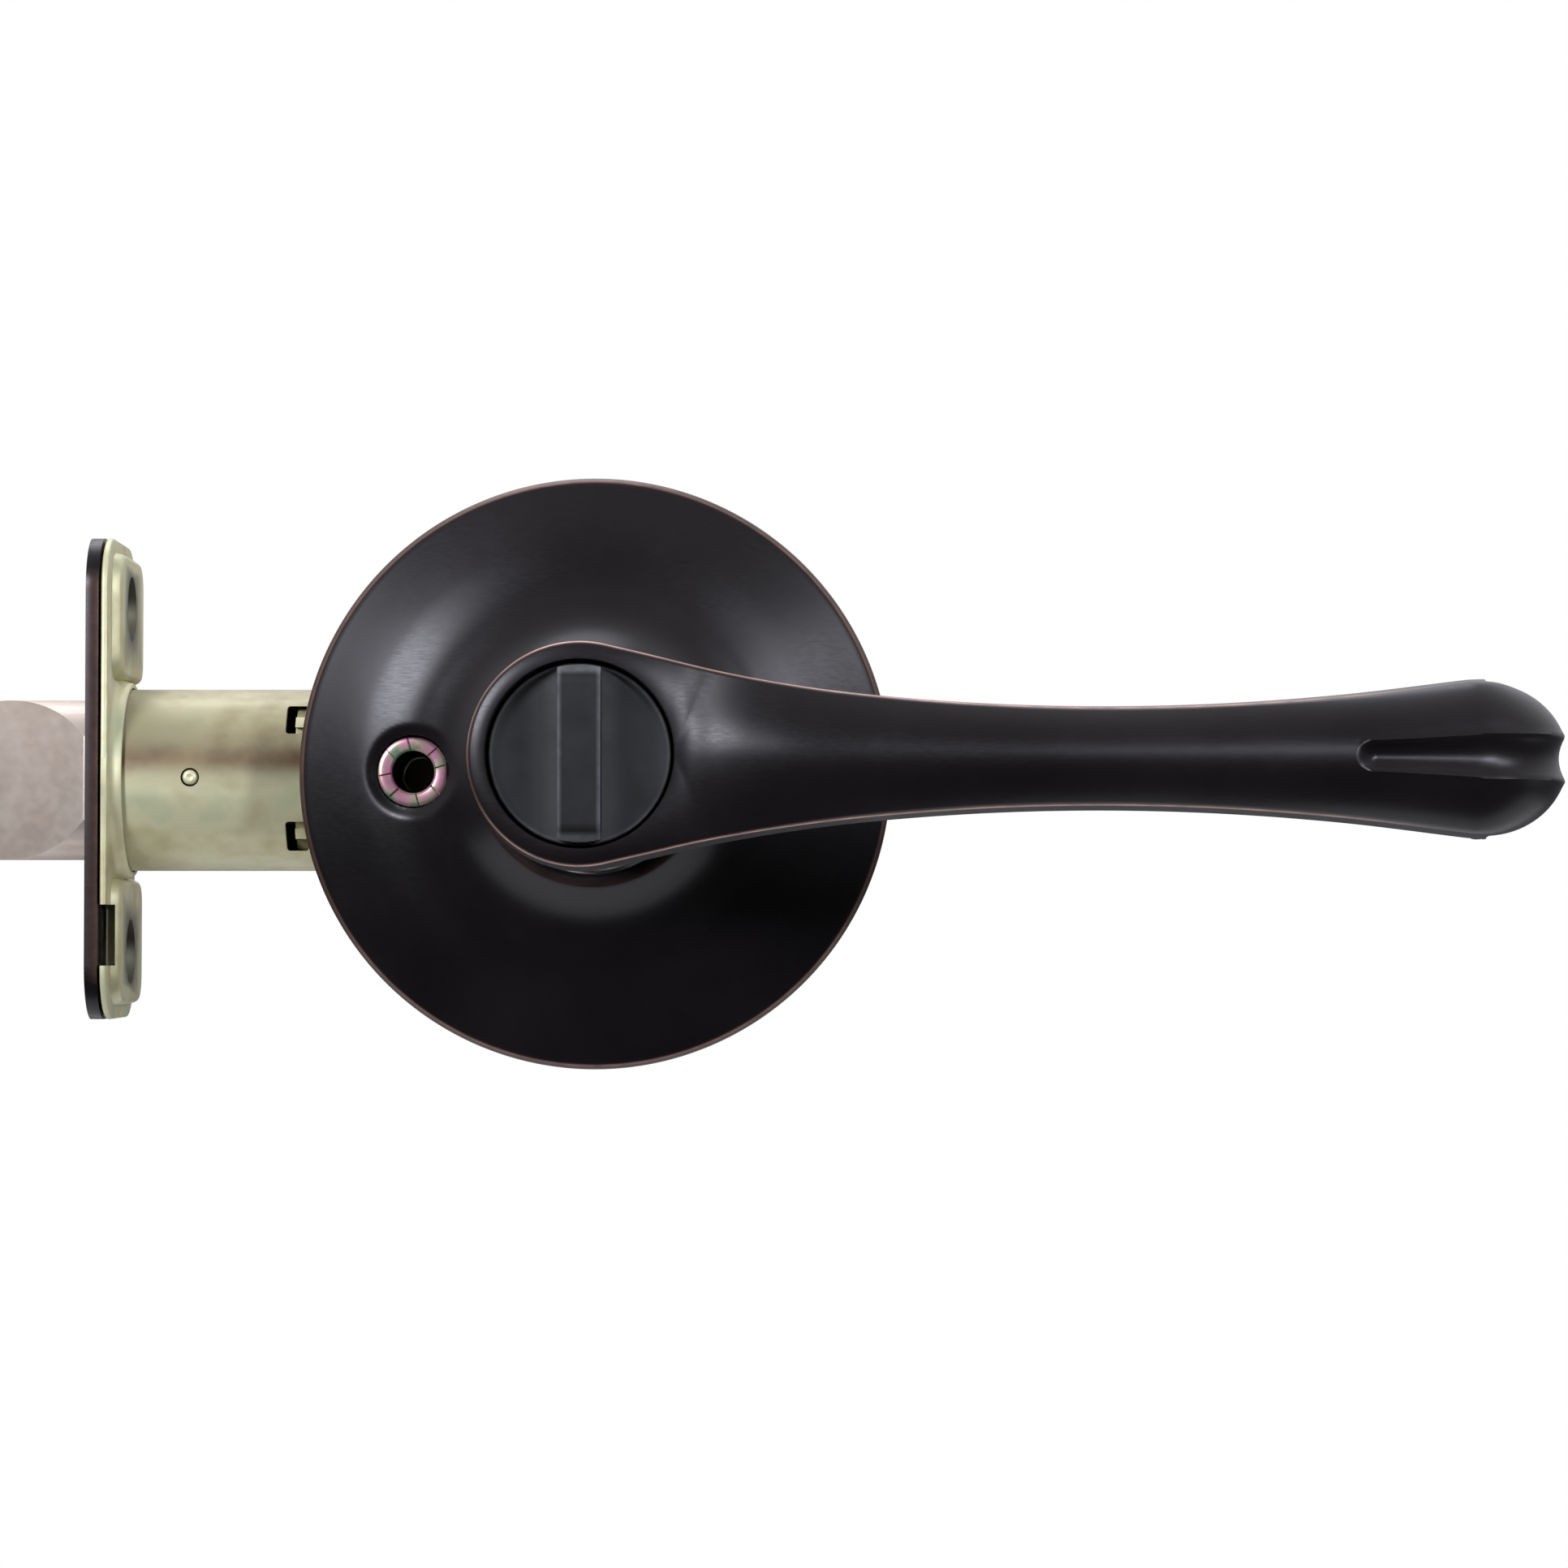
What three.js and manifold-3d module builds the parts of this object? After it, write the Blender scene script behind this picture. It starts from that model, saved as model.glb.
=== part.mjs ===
// Inner half of a privacy lever handle with its tubular latch, in millimetres.
// The lever turns about the Y axis. The door's inner face is y = 0, the room is on the -Y side,
// the grip points along +X, the latch bolt along -X, and +Z is up.

import * as THREE from "three";
import { mergeVertices } from "three/addons/utils/BufferGeometryUtils.js";
import Module from "manifold-3d";

const wasm = await Module();
wasm.setup();

// Driving dimensions
const DOOR_THICKNESS = 44.45;
const BACKSET = 60.3;
const SCREW_SPACING = 41.3;
const ROSE_RADIUS = 34;
const COLLAR_RADIUS = 13.3;
const HUB_RADIUS = 11.93;
const HUB_FRONT = -59.2;
const NECK_RADIUS = 9.4;
const SHANK_RADIUS = 8;
const SHANK_FLAT = 7.2;
const SHANK_END = 3;
const BUTTON_RADIUS = 9.4;
const BAR_WIDTH = 4.5;
const GRIP_END = 94.6;
const GRIP_BACK = -45;
const NOSE_RADIUS = 8.7;
const NOSE_DEPTH = 9.5;
const RETURN_END = -35;
const SPINDLE_SIZE = 7.6;
const ROD_RADIUS = 1.5;
const PLATE_RADIUS = 32.4;
const PLATE_THICKNESS = 1.6;
const CAGE_RADIUS = 14.6;
const CAGE_FRONT = -9.8;
const TUBE_RADIUS = 10.9;
const TUBE_WALL = 0.9;
const BOLT_RADIUS = 9.6;
const BOLT_FRONT = 8.2;
const BOLT_BACK = 6.3;
const BOLT_THROW = 12.2;
const FACE_HEIGHT = 57.15;
const FACE_WIDTH = 25.4;
const FACE_CORNER = 6.35;
const FACE_THICKNESS = 1.5;
const HUB_LUG_RADIUS = 11.4;
const HUB_LUG_ANGLE = 30;
const BARREL_RADIUS = 6.2;
const BOLT_TRAVEL = 11.8;
const GAP = 0.3;
const WELD = 0.01;

const POST_OFFSET = SCREW_SPACING / 2;
const LATCH_AXIS = DOOR_THICKNESS / 2;
const degrees = THREE.MathUtils.degToRad;

// ---------- solids ----------

// Vertices nearer than the tolerance become one, and triangles that collapse are dropped.
function welded(geometry, tolerance) {
  const bare = geometry.clone();
  bare.deleteAttribute("normal");
  bare.deleteAttribute("uv");
  const merged = mergeVertices(bare, tolerance);
  const index = merged.index.array;
  const kept = [];
  for (let i = 0; i < index.length; i += 3) {
    const [a, b, c] = [index[i], index[i + 1], index[i + 2]];
    if (a !== b && b !== c && c !== a) kept.push(a, b, c);
  }
  return merged.setIndex(kept);
}

function solidOf(geometry) {
  const closed = welded(geometry, 1e-4);
  const vertProperties = new Float32Array(closed.attributes.position.array);
  const triVerts = new Uint32Array(closed.index.array);
  return new wasm.Manifold(new wasm.Mesh({ numProp: 3, vertProperties, triVerts }));
}

function geometryOf(solid) {
  const mesh = solid.getMesh();
  const raw = new THREE.BufferGeometry();
  raw.setAttribute("position", new THREE.BufferAttribute(new Float32Array(mesh.vertProperties), 3));
  raw.setIndex(new THREE.BufferAttribute(new Uint32Array(mesh.triVerts), 1));
  const geometry = welded(raw, WELD);
  geometry.computeVertexNormals();
  return geometry;
}

const joined = (first, ...others) => others.reduce((whole, other) => whole.add(other), first);
const cut = (first, ...others) => others.reduce((whole, other) => whole.subtract(other), first);

// A turned ring or disc about Y, from [radius, y] points going round its section either way.
function turned(points, segments = 48) {
  const profile = points.map(([radius, y]) => new THREE.Vector2(radius, y));
  if (THREE.ShapeUtils.area(profile) < 0) profile.reverse();
  if (points[0][0] > 0) profile.push(profile[0].clone());
  return solidOf(new THREE.LatheGeometry(profile, segments));
}

function discY(radius, from, to, segments = 32, x = 0, z = 0) {
  const geometry = new THREE.CylinderGeometry(radius, radius, to - from, segments);
  return solidOf(geometry.translate(x, (from + to) / 2, z));
}

function discX(radius, from, to, segments = 32, y = 0, z = 0) {
  const geometry = new THREE.CylinderGeometry(radius, radius, to - from, segments).rotateZ(Math.PI / 2);
  return solidOf(geometry.translate((from + to) / 2, y, z));
}

function block([x0, x1], [y0, y1], [z0, z1]) {
  const geometry = new THREE.BoxGeometry(x1 - x0, y1 - y0, z1 - z0);
  return solidOf(geometry.translate((x0 + x1) / 2, (y0 + y1) / 2, (z0 + z1) / 2));
}

// A flat outline in X and Z, given from y = from to y = to.
function plateY(shape, from, to, curveSegments = 8) {
  const geometry = new THREE.ExtrudeGeometry(shape, { depth: to - from, bevelEnabled: false, curveSegments });
  return solidOf(geometry.rotateX(Math.PI / 2).translate(0, to, 0));
}

// A flat outline in Y and Z, given from x = from to x = to.
function plateX(shape, from, to, curveSegments = 8) {
  const geometry = new THREE.ExtrudeGeometry(shape, { depth: to - from, bevelEnabled: false, curveSegments });
  const turn = new THREE.Matrix4().makeBasis(
    new THREE.Vector3(0, 1, 0),
    new THREE.Vector3(0, 0, 1),
    new THREE.Vector3(1, 0, 0),
  );
  return solidOf(geometry.applyMatrix4(turn).translate(from, 0, 0));
}

function outline(points) {
  return new THREE.Shape(points.map(([across, up]) => new THREE.Vector2(across, up)));
}

function roundedRectangle(halfWidth, halfHeight, corner) {
  const shape = new THREE.Shape();
  shape.moveTo(halfWidth, -halfHeight + corner);
  shape.lineTo(halfWidth, halfHeight - corner);
  shape.absarc(halfWidth - corner, halfHeight - corner, corner, 0, Math.PI / 2);
  shape.lineTo(-halfWidth + corner, halfHeight);
  shape.absarc(-halfWidth + corner, halfHeight - corner, corner, Math.PI / 2, Math.PI);
  shape.lineTo(-halfWidth, -halfHeight + corner);
  shape.absarc(-halfWidth + corner, -halfHeight + corner, corner, Math.PI, 1.5 * Math.PI);
  shape.lineTo(halfWidth - corner, -halfHeight);
  shape.absarc(halfWidth - corner, -halfHeight + corner, corner, 1.5 * Math.PI, 2 * Math.PI);
  return shape;
}

// A closed skin over rings of points that all have the same count, with a flat cap at each end.
function skinned(rings) {
  const count = rings[0].length;
  const positions = rings.flat().flatMap((point) => [point.x, point.y, point.z]);
  const index = [];
  for (let ring = 0; ring + 1 < rings.length; ring++) {
    for (let k = 0; k < count; k++) {
      const [a, b] = [ring * count + k, ring * count + ((k + 1) % count)];
      index.push(a, b, b + count, a, b + count, a + count);
    }
  }
  const last = (rings.length - 1) * count;
  for (let k = 1; k + 1 < count; k++) {
    index.push(0, k + 1, k, last, last + k, last + k + 1);
  }
  const geometry = new THREE.BufferGeometry();
  geometry.setAttribute("position", new THREE.Float32BufferAttribute(positions, 3));
  geometry.setIndex(index);
  const made = solidOf(geometry);
  if (made.volume() > 0) return made;
  geometry.setIndex(index.reverse());
  return solidOf(geometry);
}

// A round wire along a curve.
function wire(curve, diameter, steps, sides = 8) {
  const shape = new THREE.Shape().absarc(0, 0, diameter / 2, 0, 2 * Math.PI);
  const options = { steps, extrudePath: curve, bevelEnabled: false, curveSegments: sides / 2 };
  return solidOf(new THREE.ExtrudeGeometry(shape, options));
}

class Helix extends THREE.Curve {
  constructor(radius, turns, length, start = 0) {
    super();
    Object.assign(this, { radius, turns, length, start });
  }
  getPoint(t, target = new THREE.Vector3()) {
    const angle = this.start + 2 * Math.PI * this.turns * t;
    return target.set(this.radius * Math.cos(angle), this.length * t, this.radius * Math.sin(angle));
  }
}

// ---------- lever ----------

// One section of the grip: z across it, and how far each point stands in front of its back face.
function gripSection({ halfHeight, depth, side, crown, flute }) {
  const count = 24;
  const fluteHalfWidth = 2.25;
  return Array.from({ length: count }, (_, k) => {
    const angle = (2 * Math.PI * k) / count;
    const z = halfHeight * Math.cos(angle);
    const lift = Math.sin(angle);
    if (lift < 0) return [z, side * (1 - Math.sqrt(-lift))];
    const dip = flute * Math.max(0, 1 - (z / fluteHalfWidth) ** 2);
    return [z, side + (depth - side) * lift ** crown - dip];
  });
}

const BEND_STEPS = 5;

// The grip runs along X, bends round its inner corner and returns towards the door.
function gripRings() {
  const halfHeights = new THREE.SplineCurve(
    [
      [0, 11],
      [6, 10.75],
      [12, 9.45],
      [23.9, 7.4],
      [35.7, 6.2],
      [52.4, 5.5],
      [65.9, 5.76],
      [79.4, 6.72],
      [GRIP_END, NOSE_RADIUS - 0.2],
    ].map(([x, halfHeight]) => new THREE.Vector2(x, halfHeight)),
  );
  const frontAtHub = HUB_FRONT + 0.4;
  const rings = halfHeights.getPoints(16).map(({ x, y: halfHeight }) => {
    const along = Math.min(x / GRIP_END, 1);
    const back = THREE.MathUtils.lerp(-46.8, GRIP_BACK, along);
    const front = THREE.MathUtils.lerp(frontAtHub, GRIP_BACK - NOSE_DEPTH, along ** 0.5);
    const flute = THREE.MathUtils.clamp((x - 80) / 12, 0, 1);
    const section = gripSection({ halfHeight, depth: back - front, side: 3, crown: 0.5, flute });
    return section.map(([z, rise]) => new THREE.Vector3(x, back - rise, z));
  });
  for (let step = 1; step <= BEND_STEPS; step++) {
    const turn = step / BEND_STEPS;
    const angle = turn * degrees(90);
    const section = gripSection({
      halfHeight: NOSE_RADIUS - 0.2 * (1 - turn),
      depth: NOSE_DEPTH,
      side: THREE.MathUtils.lerp(3, NOSE_DEPTH - NOSE_RADIUS, turn),
      crown: THREE.MathUtils.lerp(0.5, 1, turn),
      flute: 1,
    });
    const across = (rise) => GRIP_END + rise * Math.sin(angle);
    const behind = (rise) => GRIP_BACK - rise * Math.cos(angle);
    rings.push(section.map(([z, rise]) => new THREE.Vector3(across(rise), behind(rise), z)));
  }
  const bent = rings.at(-1);
  for (const [y, size] of [[-40, 0.99], [RETURN_END - 1, 0.96], [RETURN_END, 0.85]]) {
    rings.push(bent.map(({ x, z }) => new THREE.Vector3(GRIP_END + (x - GRIP_END) * size, y, z * size)));
  }
  return rings;
}

function leverCasting() {
  const hub = turned(
    [
      [0, HUB_FRONT],
      [11.5, HUB_FRONT],
      [HUB_RADIUS, HUB_FRONT + 0.5],
      [HUB_RADIUS, -52],
      [11.2, -44.6],
      [10.1, -40],
      [NECK_RADIUS, -35],
      [NECK_RADIUS, CAGE_FRONT - 0.4],
      [0, CAGE_FRONT - 0.4],
    ],
    48,
  );
  const shank = discY(SHANK_RADIUS, CAGE_FRONT - 0.6, SHANK_END, 48);
  const flats = block([-20, 20], [-8.5, SHANK_END + 1], [-SHANK_FLAT, SHANK_FLAT]);
  const flatted = joined(discY(SHANK_RADIUS, CAGE_FRONT - 0.6, -8.5, 48), shank.intersect(flats));
  const buttonRecess = discY(BUTTON_RADIUS + 0.35, HUB_FRONT - 5, -54, 48);
  const rodBore = discY(2.2, HUB_FRONT, 0, 16);
  const pawlSlot = block([-4.7, 3.7], [-10, -8.6], [-7, 20]);
  const pawlRoom = discY(SHANK_RADIUS + 1, -10, -8.6, 32).intersect(pawlSlot);
  const socketHalf = SPINDLE_SIZE / 2 + 0.2;
  const socket = block([-socketHalf, socketHalf], [-7.8, SHANK_END + 1], [-socketHalf, socketHalf]);
  const groove = turned([[7, 0.4], [9, 0.4], [9, 1.6], [7, 1.6]]);
  return cut(joined(hub, skinned(gripRings()), flatted), buttonRecess, rodBore, pawlRoom, socket, groove);
}

// ---------- thumb turn and lock ----------

function turnButton() {
  const disc = turned([
    [0, -57.9],
    [BUTTON_RADIUS - 0.65, -57.9],
    [BUTTON_RADIUS, -57.25],
    [BUTTON_RADIUS, -54.3],
    [0, -54.3],
  ], 48);
  const scoopRadius = 14;
  const scoops = [-1, 1].map((side) => {
    const scoop = new THREE.CylinderGeometry(scoopRadius, scoopRadius, 30, 96).rotateX(Math.PI / 2);
    return solidOf(scoop.translate(side * 6.2, -57.1 - scoopRadius, 0));
  });
  const bar = discY(BUTTON_RADIUS - 0.3, -61, -54.3, 48).intersect(
    block([-BAR_WIDTH / 2, BAR_WIDTH / 2], [-61, -54.3], [-12, 12]),
  );
  return cut(joined(cut(disc, ...scoops), bar), discY(ROD_RADIUS + 0.1, -57, -54, 16));
}

const CAM_OFFSET = 1;
const CAM_RADIUS = 2;

function lockRod() {
  const rod = discY(ROD_RADIUS, -56.7, 46, 16);
  const cam = discY(CAM_RADIUS, -9.7, -8.9, 20, -CAM_OFFSET, 0);
  const bladeHalf = 0.8;
  const bladeCuts = [-1, 1].map((side) =>
    block([Math.min(side * bladeHalf, side * 3), Math.max(side * bladeHalf, side * 3)], [-4, 47], [-3, 3]),
  );
  return cut(joined(rod, cam), ...bladeCuts);
}

function lockPawl() {
  const body = block([-4.4, 3.4], [-9.75, -8.85], [-6, 8.2]).intersect(discY(8.2, -10, -8, 48));
  return cut(body, block([-3.4, 2.4], [-10, -8], [-3.3, 3.3]));
}

function rodClip() {
  const ring = turned([[ROD_RADIUS + 0.1, -7.5], [3.4, -7.5], [3.4, -7], [ROD_RADIUS + 0.1, -7]], 24);
  return cut(ring, block([0, 5], [-8, -6], [-0.5, 0.5]));
}

function spindle() {
  const half = SPINDLE_SIZE / 2;
  return cut(block([-half, half], [-6.6, 42], [-half, half]), discY(2.1, -7, 43, 20));
}

// ---------- rose, plate and return spring ----------

function rose() {
  const shell = turned(
    [
      [ROSE_RADIUS, -0.3],
      [ROSE_RADIUS, -2.3],
      [33.3, -3.2],
      [27, -5.9],
      [20.5, -8.3],
      [15.8, -11.4],
      [COLLAR_RADIUS, -14.5],
      [12.2, -14.8],
      [11.7, -14.4],
      [11.7, -13.4],
      [12.8, -12.8],
      [14.8, -10.6],
      [20, -7.3],
      [26.6, -4.9],
      [32.4, -2.5],
      [33, -0.3],
    ],
    64,
  );
  return cut(shell, ...[-1, 1].map((side) => discY(4.2, -12, -2, 32, side * POST_OFFSET)));
}

function roseBushing() {
  return turned([
    [NECK_RADIUS + 0.2, -14.2],
    [11.4, -14.2],
    [11.4, -12.9],
    [12.1, -12.9],
    [12.1, -11.6],
    [NECK_RADIUS + 0.2, -11.6],
  ], 40);
}

function mountingPlate() {
  const holes = [-1, 1].map((side) => discY(3.2, -3, 1, 24, side * POST_OFFSET));
  const notches = [45, 135, 225, 315].map((angle) => {
    const [x, z] = [Math.cos(degrees(angle)) * PLATE_RADIUS, Math.sin(degrees(angle)) * PLATE_RADIUS];
    return discY(2, -3, 1, 16, x, z);
  });
  const bearing = discY(SHANK_RADIUS + 0.3, -3, 1, 40);
  const middle = discY(25, -0.3, 1, 60);
  return cut(discY(PLATE_RADIUS, -PLATE_THICKNESS, 0, 60), middle, bearing, ...holes, ...notches);
}

function springCage() {
  const back = -PLATE_THICKNESS - GAP;
  const cup = turned([
    [8.4, CAGE_FRONT],
    [CAGE_RADIUS, CAGE_FRONT],
    [CAGE_RADIUS, back - 1],
    [16.4, back - 1],
    [16.4, back],
    [13.7, back],
    [13.7, CAGE_FRONT + 1],
    [8.4, CAGE_FRONT + 1],
  ]);
  const notch = outline([[0, 0]]);
  notch.absarc(0, 0, 9.9, degrees(2), degrees(126));
  notch.lineTo(0, 0);
  const legWindow = block([0.8, 4.4], [-8.8, -7], [-18, -12]);
  return cut(cup, plateY(notch, CAGE_FRONT - 1, CAGE_FRONT + 2, 10), legWindow);
}

function springDriver() {
  const sleeve = discY(10.4, -8.1, -2.7, 40);
  const arm = block([-1.5, 1.5], [-3.6, -2.7], [-12.9, -9]);
  const bore = discY(SHANK_RADIUS + 0.15, -9, -2, 40).intersect(
    block([-10, 10], [-9, -2], [-SHANK_FLAT - 0.15, SHANK_FLAT + 0.15]),
  );
  return cut(joined(sleeve, arm), bore);
}

function returnSpring() {
  const coil = new Helix(12, 2.93, 4.7, degrees(-75));
  const first = coil.getPoint(0);
  const fixedLeg = new THREE.Vector3(first.x - 1, first.y, first.z - 2.4);
  return wire(new THREE.CatmullRomCurve3([fixedLeg, ...coil.getPoints(54)]), 1.1, 60, 6);
}

// A thin ring that waves up and down as it goes round.
function waveWasher() {
  const count = 36;
  const rings = Array.from({ length: count }, (_, k) => {
    const angle = (2 * Math.PI * k) / count;
    const middle = 0.15 * Math.sin(3 * angle);
    return [[8.5, -0.15], [10.2, -0.15], [10.2, 0.15], [8.5, 0.15]].map(
      ([radius, y]) => new THREE.Vector3(radius * Math.cos(angle), middle + y, radius * Math.sin(angle)),
    );
  });
  const positions = rings.flat().flatMap((point) => point.toArray());
  const index = [];
  for (let k = 0; k < count; k++) {
    for (let corner = 0; corner < 4; corner++) {
      const [a, b] = [4 * k + corner, 4 * k + ((corner + 1) % 4)];
      const [c, d] = [4 * ((k + 1) % count) + ((corner + 1) % 4), 4 * ((k + 1) % count) + corner];
      index.push(a, c, b, a, d, c);
    }
  }
  const geometry = new THREE.BufferGeometry();
  geometry.setAttribute("position", new THREE.Float32BufferAttribute(positions, 3));
  geometry.setIndex(index);
  const made = solidOf(geometry);
  if (made.volume() > 0) return made;
  geometry.setIndex(index.reverse());
  return solidOf(geometry);
}

function circlip() {
  const ring = turned([[7.15, 0.55], [9.3, 0.55], [9.3, 1.45], [7.15, 1.45]], 40);
  const mouth = outline([[0, 0], [14, -5], [14, 5]]);
  return cut(ring, plateY(mouth, 0, 2));
}

function screwPost() {
  return turned(
    [
      [2.1, 9],
      [3, 9],
      [3, -4.8],
      [3.8, -5.6],
      [3.8, -6.2],
      [3.5, -6.5],
      [2.75, -6.5],
      [2.1, -5.5],
    ],
    20,
  );
}

// ---------- latch, about its own axis along X ----------

const FACE_X = -BACKSET;
const BACKING_X = FACE_X + FACE_THICKNESS + GAP;
const BACKING_THICKNESS = 0.8;
const FACE_SCREW_HEIGHT = 20.6;

// The bolt's section: a circle with a shallow flat on its bevelled side and a deep one on its straight side.
function boltSection(extra, from, to) {
  const depth = [-BOLT_FRONT - extra, BOLT_BACK + extra];
  return discX(BOLT_RADIUS + extra, from, to, 48).intersect(block([from, to], depth, [-20, 20]));
}

const faceShape = () => roundedRectangle(FACE_WIDTH / 2, FACE_HEIGHT / 2, FACE_CORNER);

function faceplate() {
  const plate = plateX(faceShape(), FACE_X, FACE_X + FACE_THICKNESS);
  const holes = [-1, 1].map((side) => discX(2.3, FACE_X - 1, FACE_X + 3, 24, 0, side * FACE_SCREW_HEIGHT));
  return cut(plate, boltSection(0.25, FACE_X - 1, FACE_X + 3), ...holes);
}

// A stamped sheet: a raised pad behind each screw hole and a low collar round the tube. The notch near
// its lower end runs in under the pad.
function backingPlate() {
  const back = BACKING_X + BACKING_THICKNESS;
  const sheet = plateX(faceShape(), BACKING_X, back);
  const pads = [-1, 1].map((side) => {
    const corners = [
      [-9, 13.6],
      [-7, 11.6],
      [9.5, 11.6],
      [11.5, 13.6],
      [11.5, 24.6],
      [9, 27.1],
      [-6.5, 27.1],
      [-9, 24.6],
    ].map(([y, z]) => [y, side * z]);
    return plateX(outline(side > 0 ? corners : corners.reverse()), back - 0.3, back + 1.2);
  });
  const collar = discX(TUBE_RADIUS + 0.8, BACKING_X, back + 1.5, 48);
  const screwHoles = [-1, 1].map((side) => discX(3.9, FACE_X, FACE_X + 9, 28, 0, side * FACE_SCREW_HEIGHT));
  const notch = block([FACE_X, back + 0.5], [-FACE_WIDTH / 2 - 1, -6.5], [-22.2, -15]);
  return cut(joined(sheet, collar, ...pads), discX(TUBE_RADIUS + 0.2, FACE_X, 0, 40), notch, ...screwHoles);
}

const TUBE_END = -31;
const SEAT_X = -36;
const PIN_X = -48.2;

function latchTube() {
  const start = BACKING_X + 0.2;
  const outer = discX(TUBE_RADIUS, start, TUBE_END, 40);
  const slots = [-1, 1].map((side) =>
    block([SEAT_X - 1.1, SEAT_X + 1.5], [-12, -4.5], side > 0 ? [5.2, 8.6] : [-8.6, -5.2]),
  );
  const pinHole = discY(1.1, -12, -8, 16, PIN_X, 0);
  return cut(outer, discX(TUBE_RADIUS - TUBE_WALL, start - 1, TUBE_END + 1, 40), pinHole, ...slots);
}

function tubePin() {
  const shape = [[0, -11.1], [0.9, -11.1], [0.9, -8.55], [0, -8.55]];
  return turned(shape, 16);
}

const BOLT_TIP = FACE_X - BOLT_THROW;
const BOLT_SHOULDER = -57.2;
const BOLT_REAR = -48.2;
const BOLT_BORE_END = -54;
const CROSS_PIN_X = -56.2;

function latchBolt() {
  const bevel = outline([
    [BOLT_TIP - 1, -9],
    [FACE_X - 0.8, -9],
    [FACE_X - 0.8, -BOLT_FRONT],
    [FACE_X - 4.5, -5.3],
    [FACE_X - 8.2, -2.3],
    [BOLT_TIP, 0.6],
    [BOLT_TIP - 1, 0.6],
  ]);
  const flatBevel = new THREE.ExtrudeGeometry(bevel, { depth: 30, bevelEnabled: false }).translate(0, 0, -15);
  const tongue = cut(boltSection(0, BOLT_TIP, -52), solidOf(flatBevel));
  const guide = discX(BOLT_RADIUS, BOLT_SHOULDER, BOLT_REAR, 48);
  const bore = discX(8.5, BOLT_BORE_END, BOLT_REAR + 1, 40);
  const groove = block([BOLT_SHOULDER - 1, BOLT_REAR + 1], [-12, -6.6], [-1.3, 1.3]);
  const barSlot = block([-58.6, -50], [-4.2, -2], [-5.8, 5.8]);
  const pinHole = discY(1.35, -12, 12, 16, CROSS_PIN_X, 0);
  return cut(joined(tongue, guide), bore, groove, barSlot, pinHole);
}

// The draw bar: a stem in the bolt, a yoke round the cam hub and two tabs for its lugs to push.
function drawBar() {
  const throat = BARREL_RADIUS + GAP;
  const around = Array.from({ length: 8 }, (_, k) => {
    const angle = degrees(90 + 9 * k);
    return [throat * Math.cos(angle) - BOLT_TRAVEL, throat * Math.sin(angle)];
  });
  const stem = [
    [-58.2, 5.4],
    [-17.4, 5.4],
    [-17.4, 8],
    [-14, 11.2],
    [-2.6, 11.2],
    [-2.6, 7.9],
    [-10.5, 7.9],
    ...around.filter(([, z]) => z > 3),
    [-18, 3],
    [-36, 3],
  ];
  const mirrored = stem.map(([x, z]) => [x, -z]).reverse();
  const plate = plateY(outline([...stem, ...mirrored]), -3.9, -2.5);
  const tabs = [-1, 1].map((side) => block([-4, -2.6], [-2.6, 2], side > 0 ? [9, 11.2] : [-11.2, -9]));
  const pinHole = discY(1.35, -6, 0, 16, CROSS_PIN_X, 0);
  return cut(joined(plate, ...tabs), pinHole);
}

function crossPin() {
  return discY(1.2, -6.1, 8.9, 16);
}

function boltSpring() {
  const helix = new Helix(7.6, 4.5, 15.6);
  return wire(helix, 1, 76, 6);
}

function springSeat() {
  const disc = discX(9.7, SEAT_X, SEAT_X + 1.4, 40);
  const ears = [-1, 1].map((side) =>
    block([SEAT_X, SEAT_X + 1.4], [-9, -6.2], side > 0 ? [6, 7.2] : [-7.2, -6]).intersect(
      discX(10.6, SEAT_X, SEAT_X + 1.4, 40),
    ),
  );
  const window = block([SEAT_X - 1, SEAT_X + 2], [-4.5, -1.9], [-6, 6]);
  return cut(joined(disc, ...ears), window);
}

const CASE_RIVET_X = 12.4;
const CASE_RIVET_HEIGHT = 4.6;

// Half of the latch case: side is -1 for the half nearer the room, 1 for the other.
function latchCase(side) {
  const shape = outline([
    [-34.2, -7.1],
    [-19, -7.1],
    [-15.5, -12.5],
    [8, -12.5],
    [15, -7],
    [15, 7],
    [8, 12.5],
    [-15.5, 12.5],
    [-19, 7.1],
    [-34.2, 7.1],
  ]);
  const [inner, outer, lip] = [5.2 * side, 6.2 * side, 0.2 * side];
  const sheet = plateY(shape, Math.min(inner, outer), Math.max(inner, outer));
  const walls = [-1, 1].map((up) =>
    block([-34.2, -19], [Math.min(lip, outer), Math.max(lip, outer)], up > 0 ? [6.1, 7.1] : [-7.1, -6.1]),
  );
  const holes = [
    discY(BARREL_RADIUS + 0.2, -8, 8, 40),
    discY(2.7, -8, 8, 24, -POST_OFFSET),
    discY(1.2, -8, 8, 12, CASE_RIVET_X, CASE_RIVET_HEIGHT),
    discY(1.2, -8, 8, 12, CASE_RIVET_X, -CASE_RIVET_HEIGHT),
  ];
  return cut(joined(sheet, ...walls), ...holes);
}

function caseRivet() {
  return turned(
    [
      [0, -7],
      [1.5, -7],
      [2, -6.4],
      [1.05, -6.4],
      [1.05, -5],
      [1.8, -5],
      [1.8, 5],
      [1.05, 5],
      [1.05, 6.4],
      [2, 6.4],
      [1.5, 7],
      [0, 7],
    ],
    12,
  );
}

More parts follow.
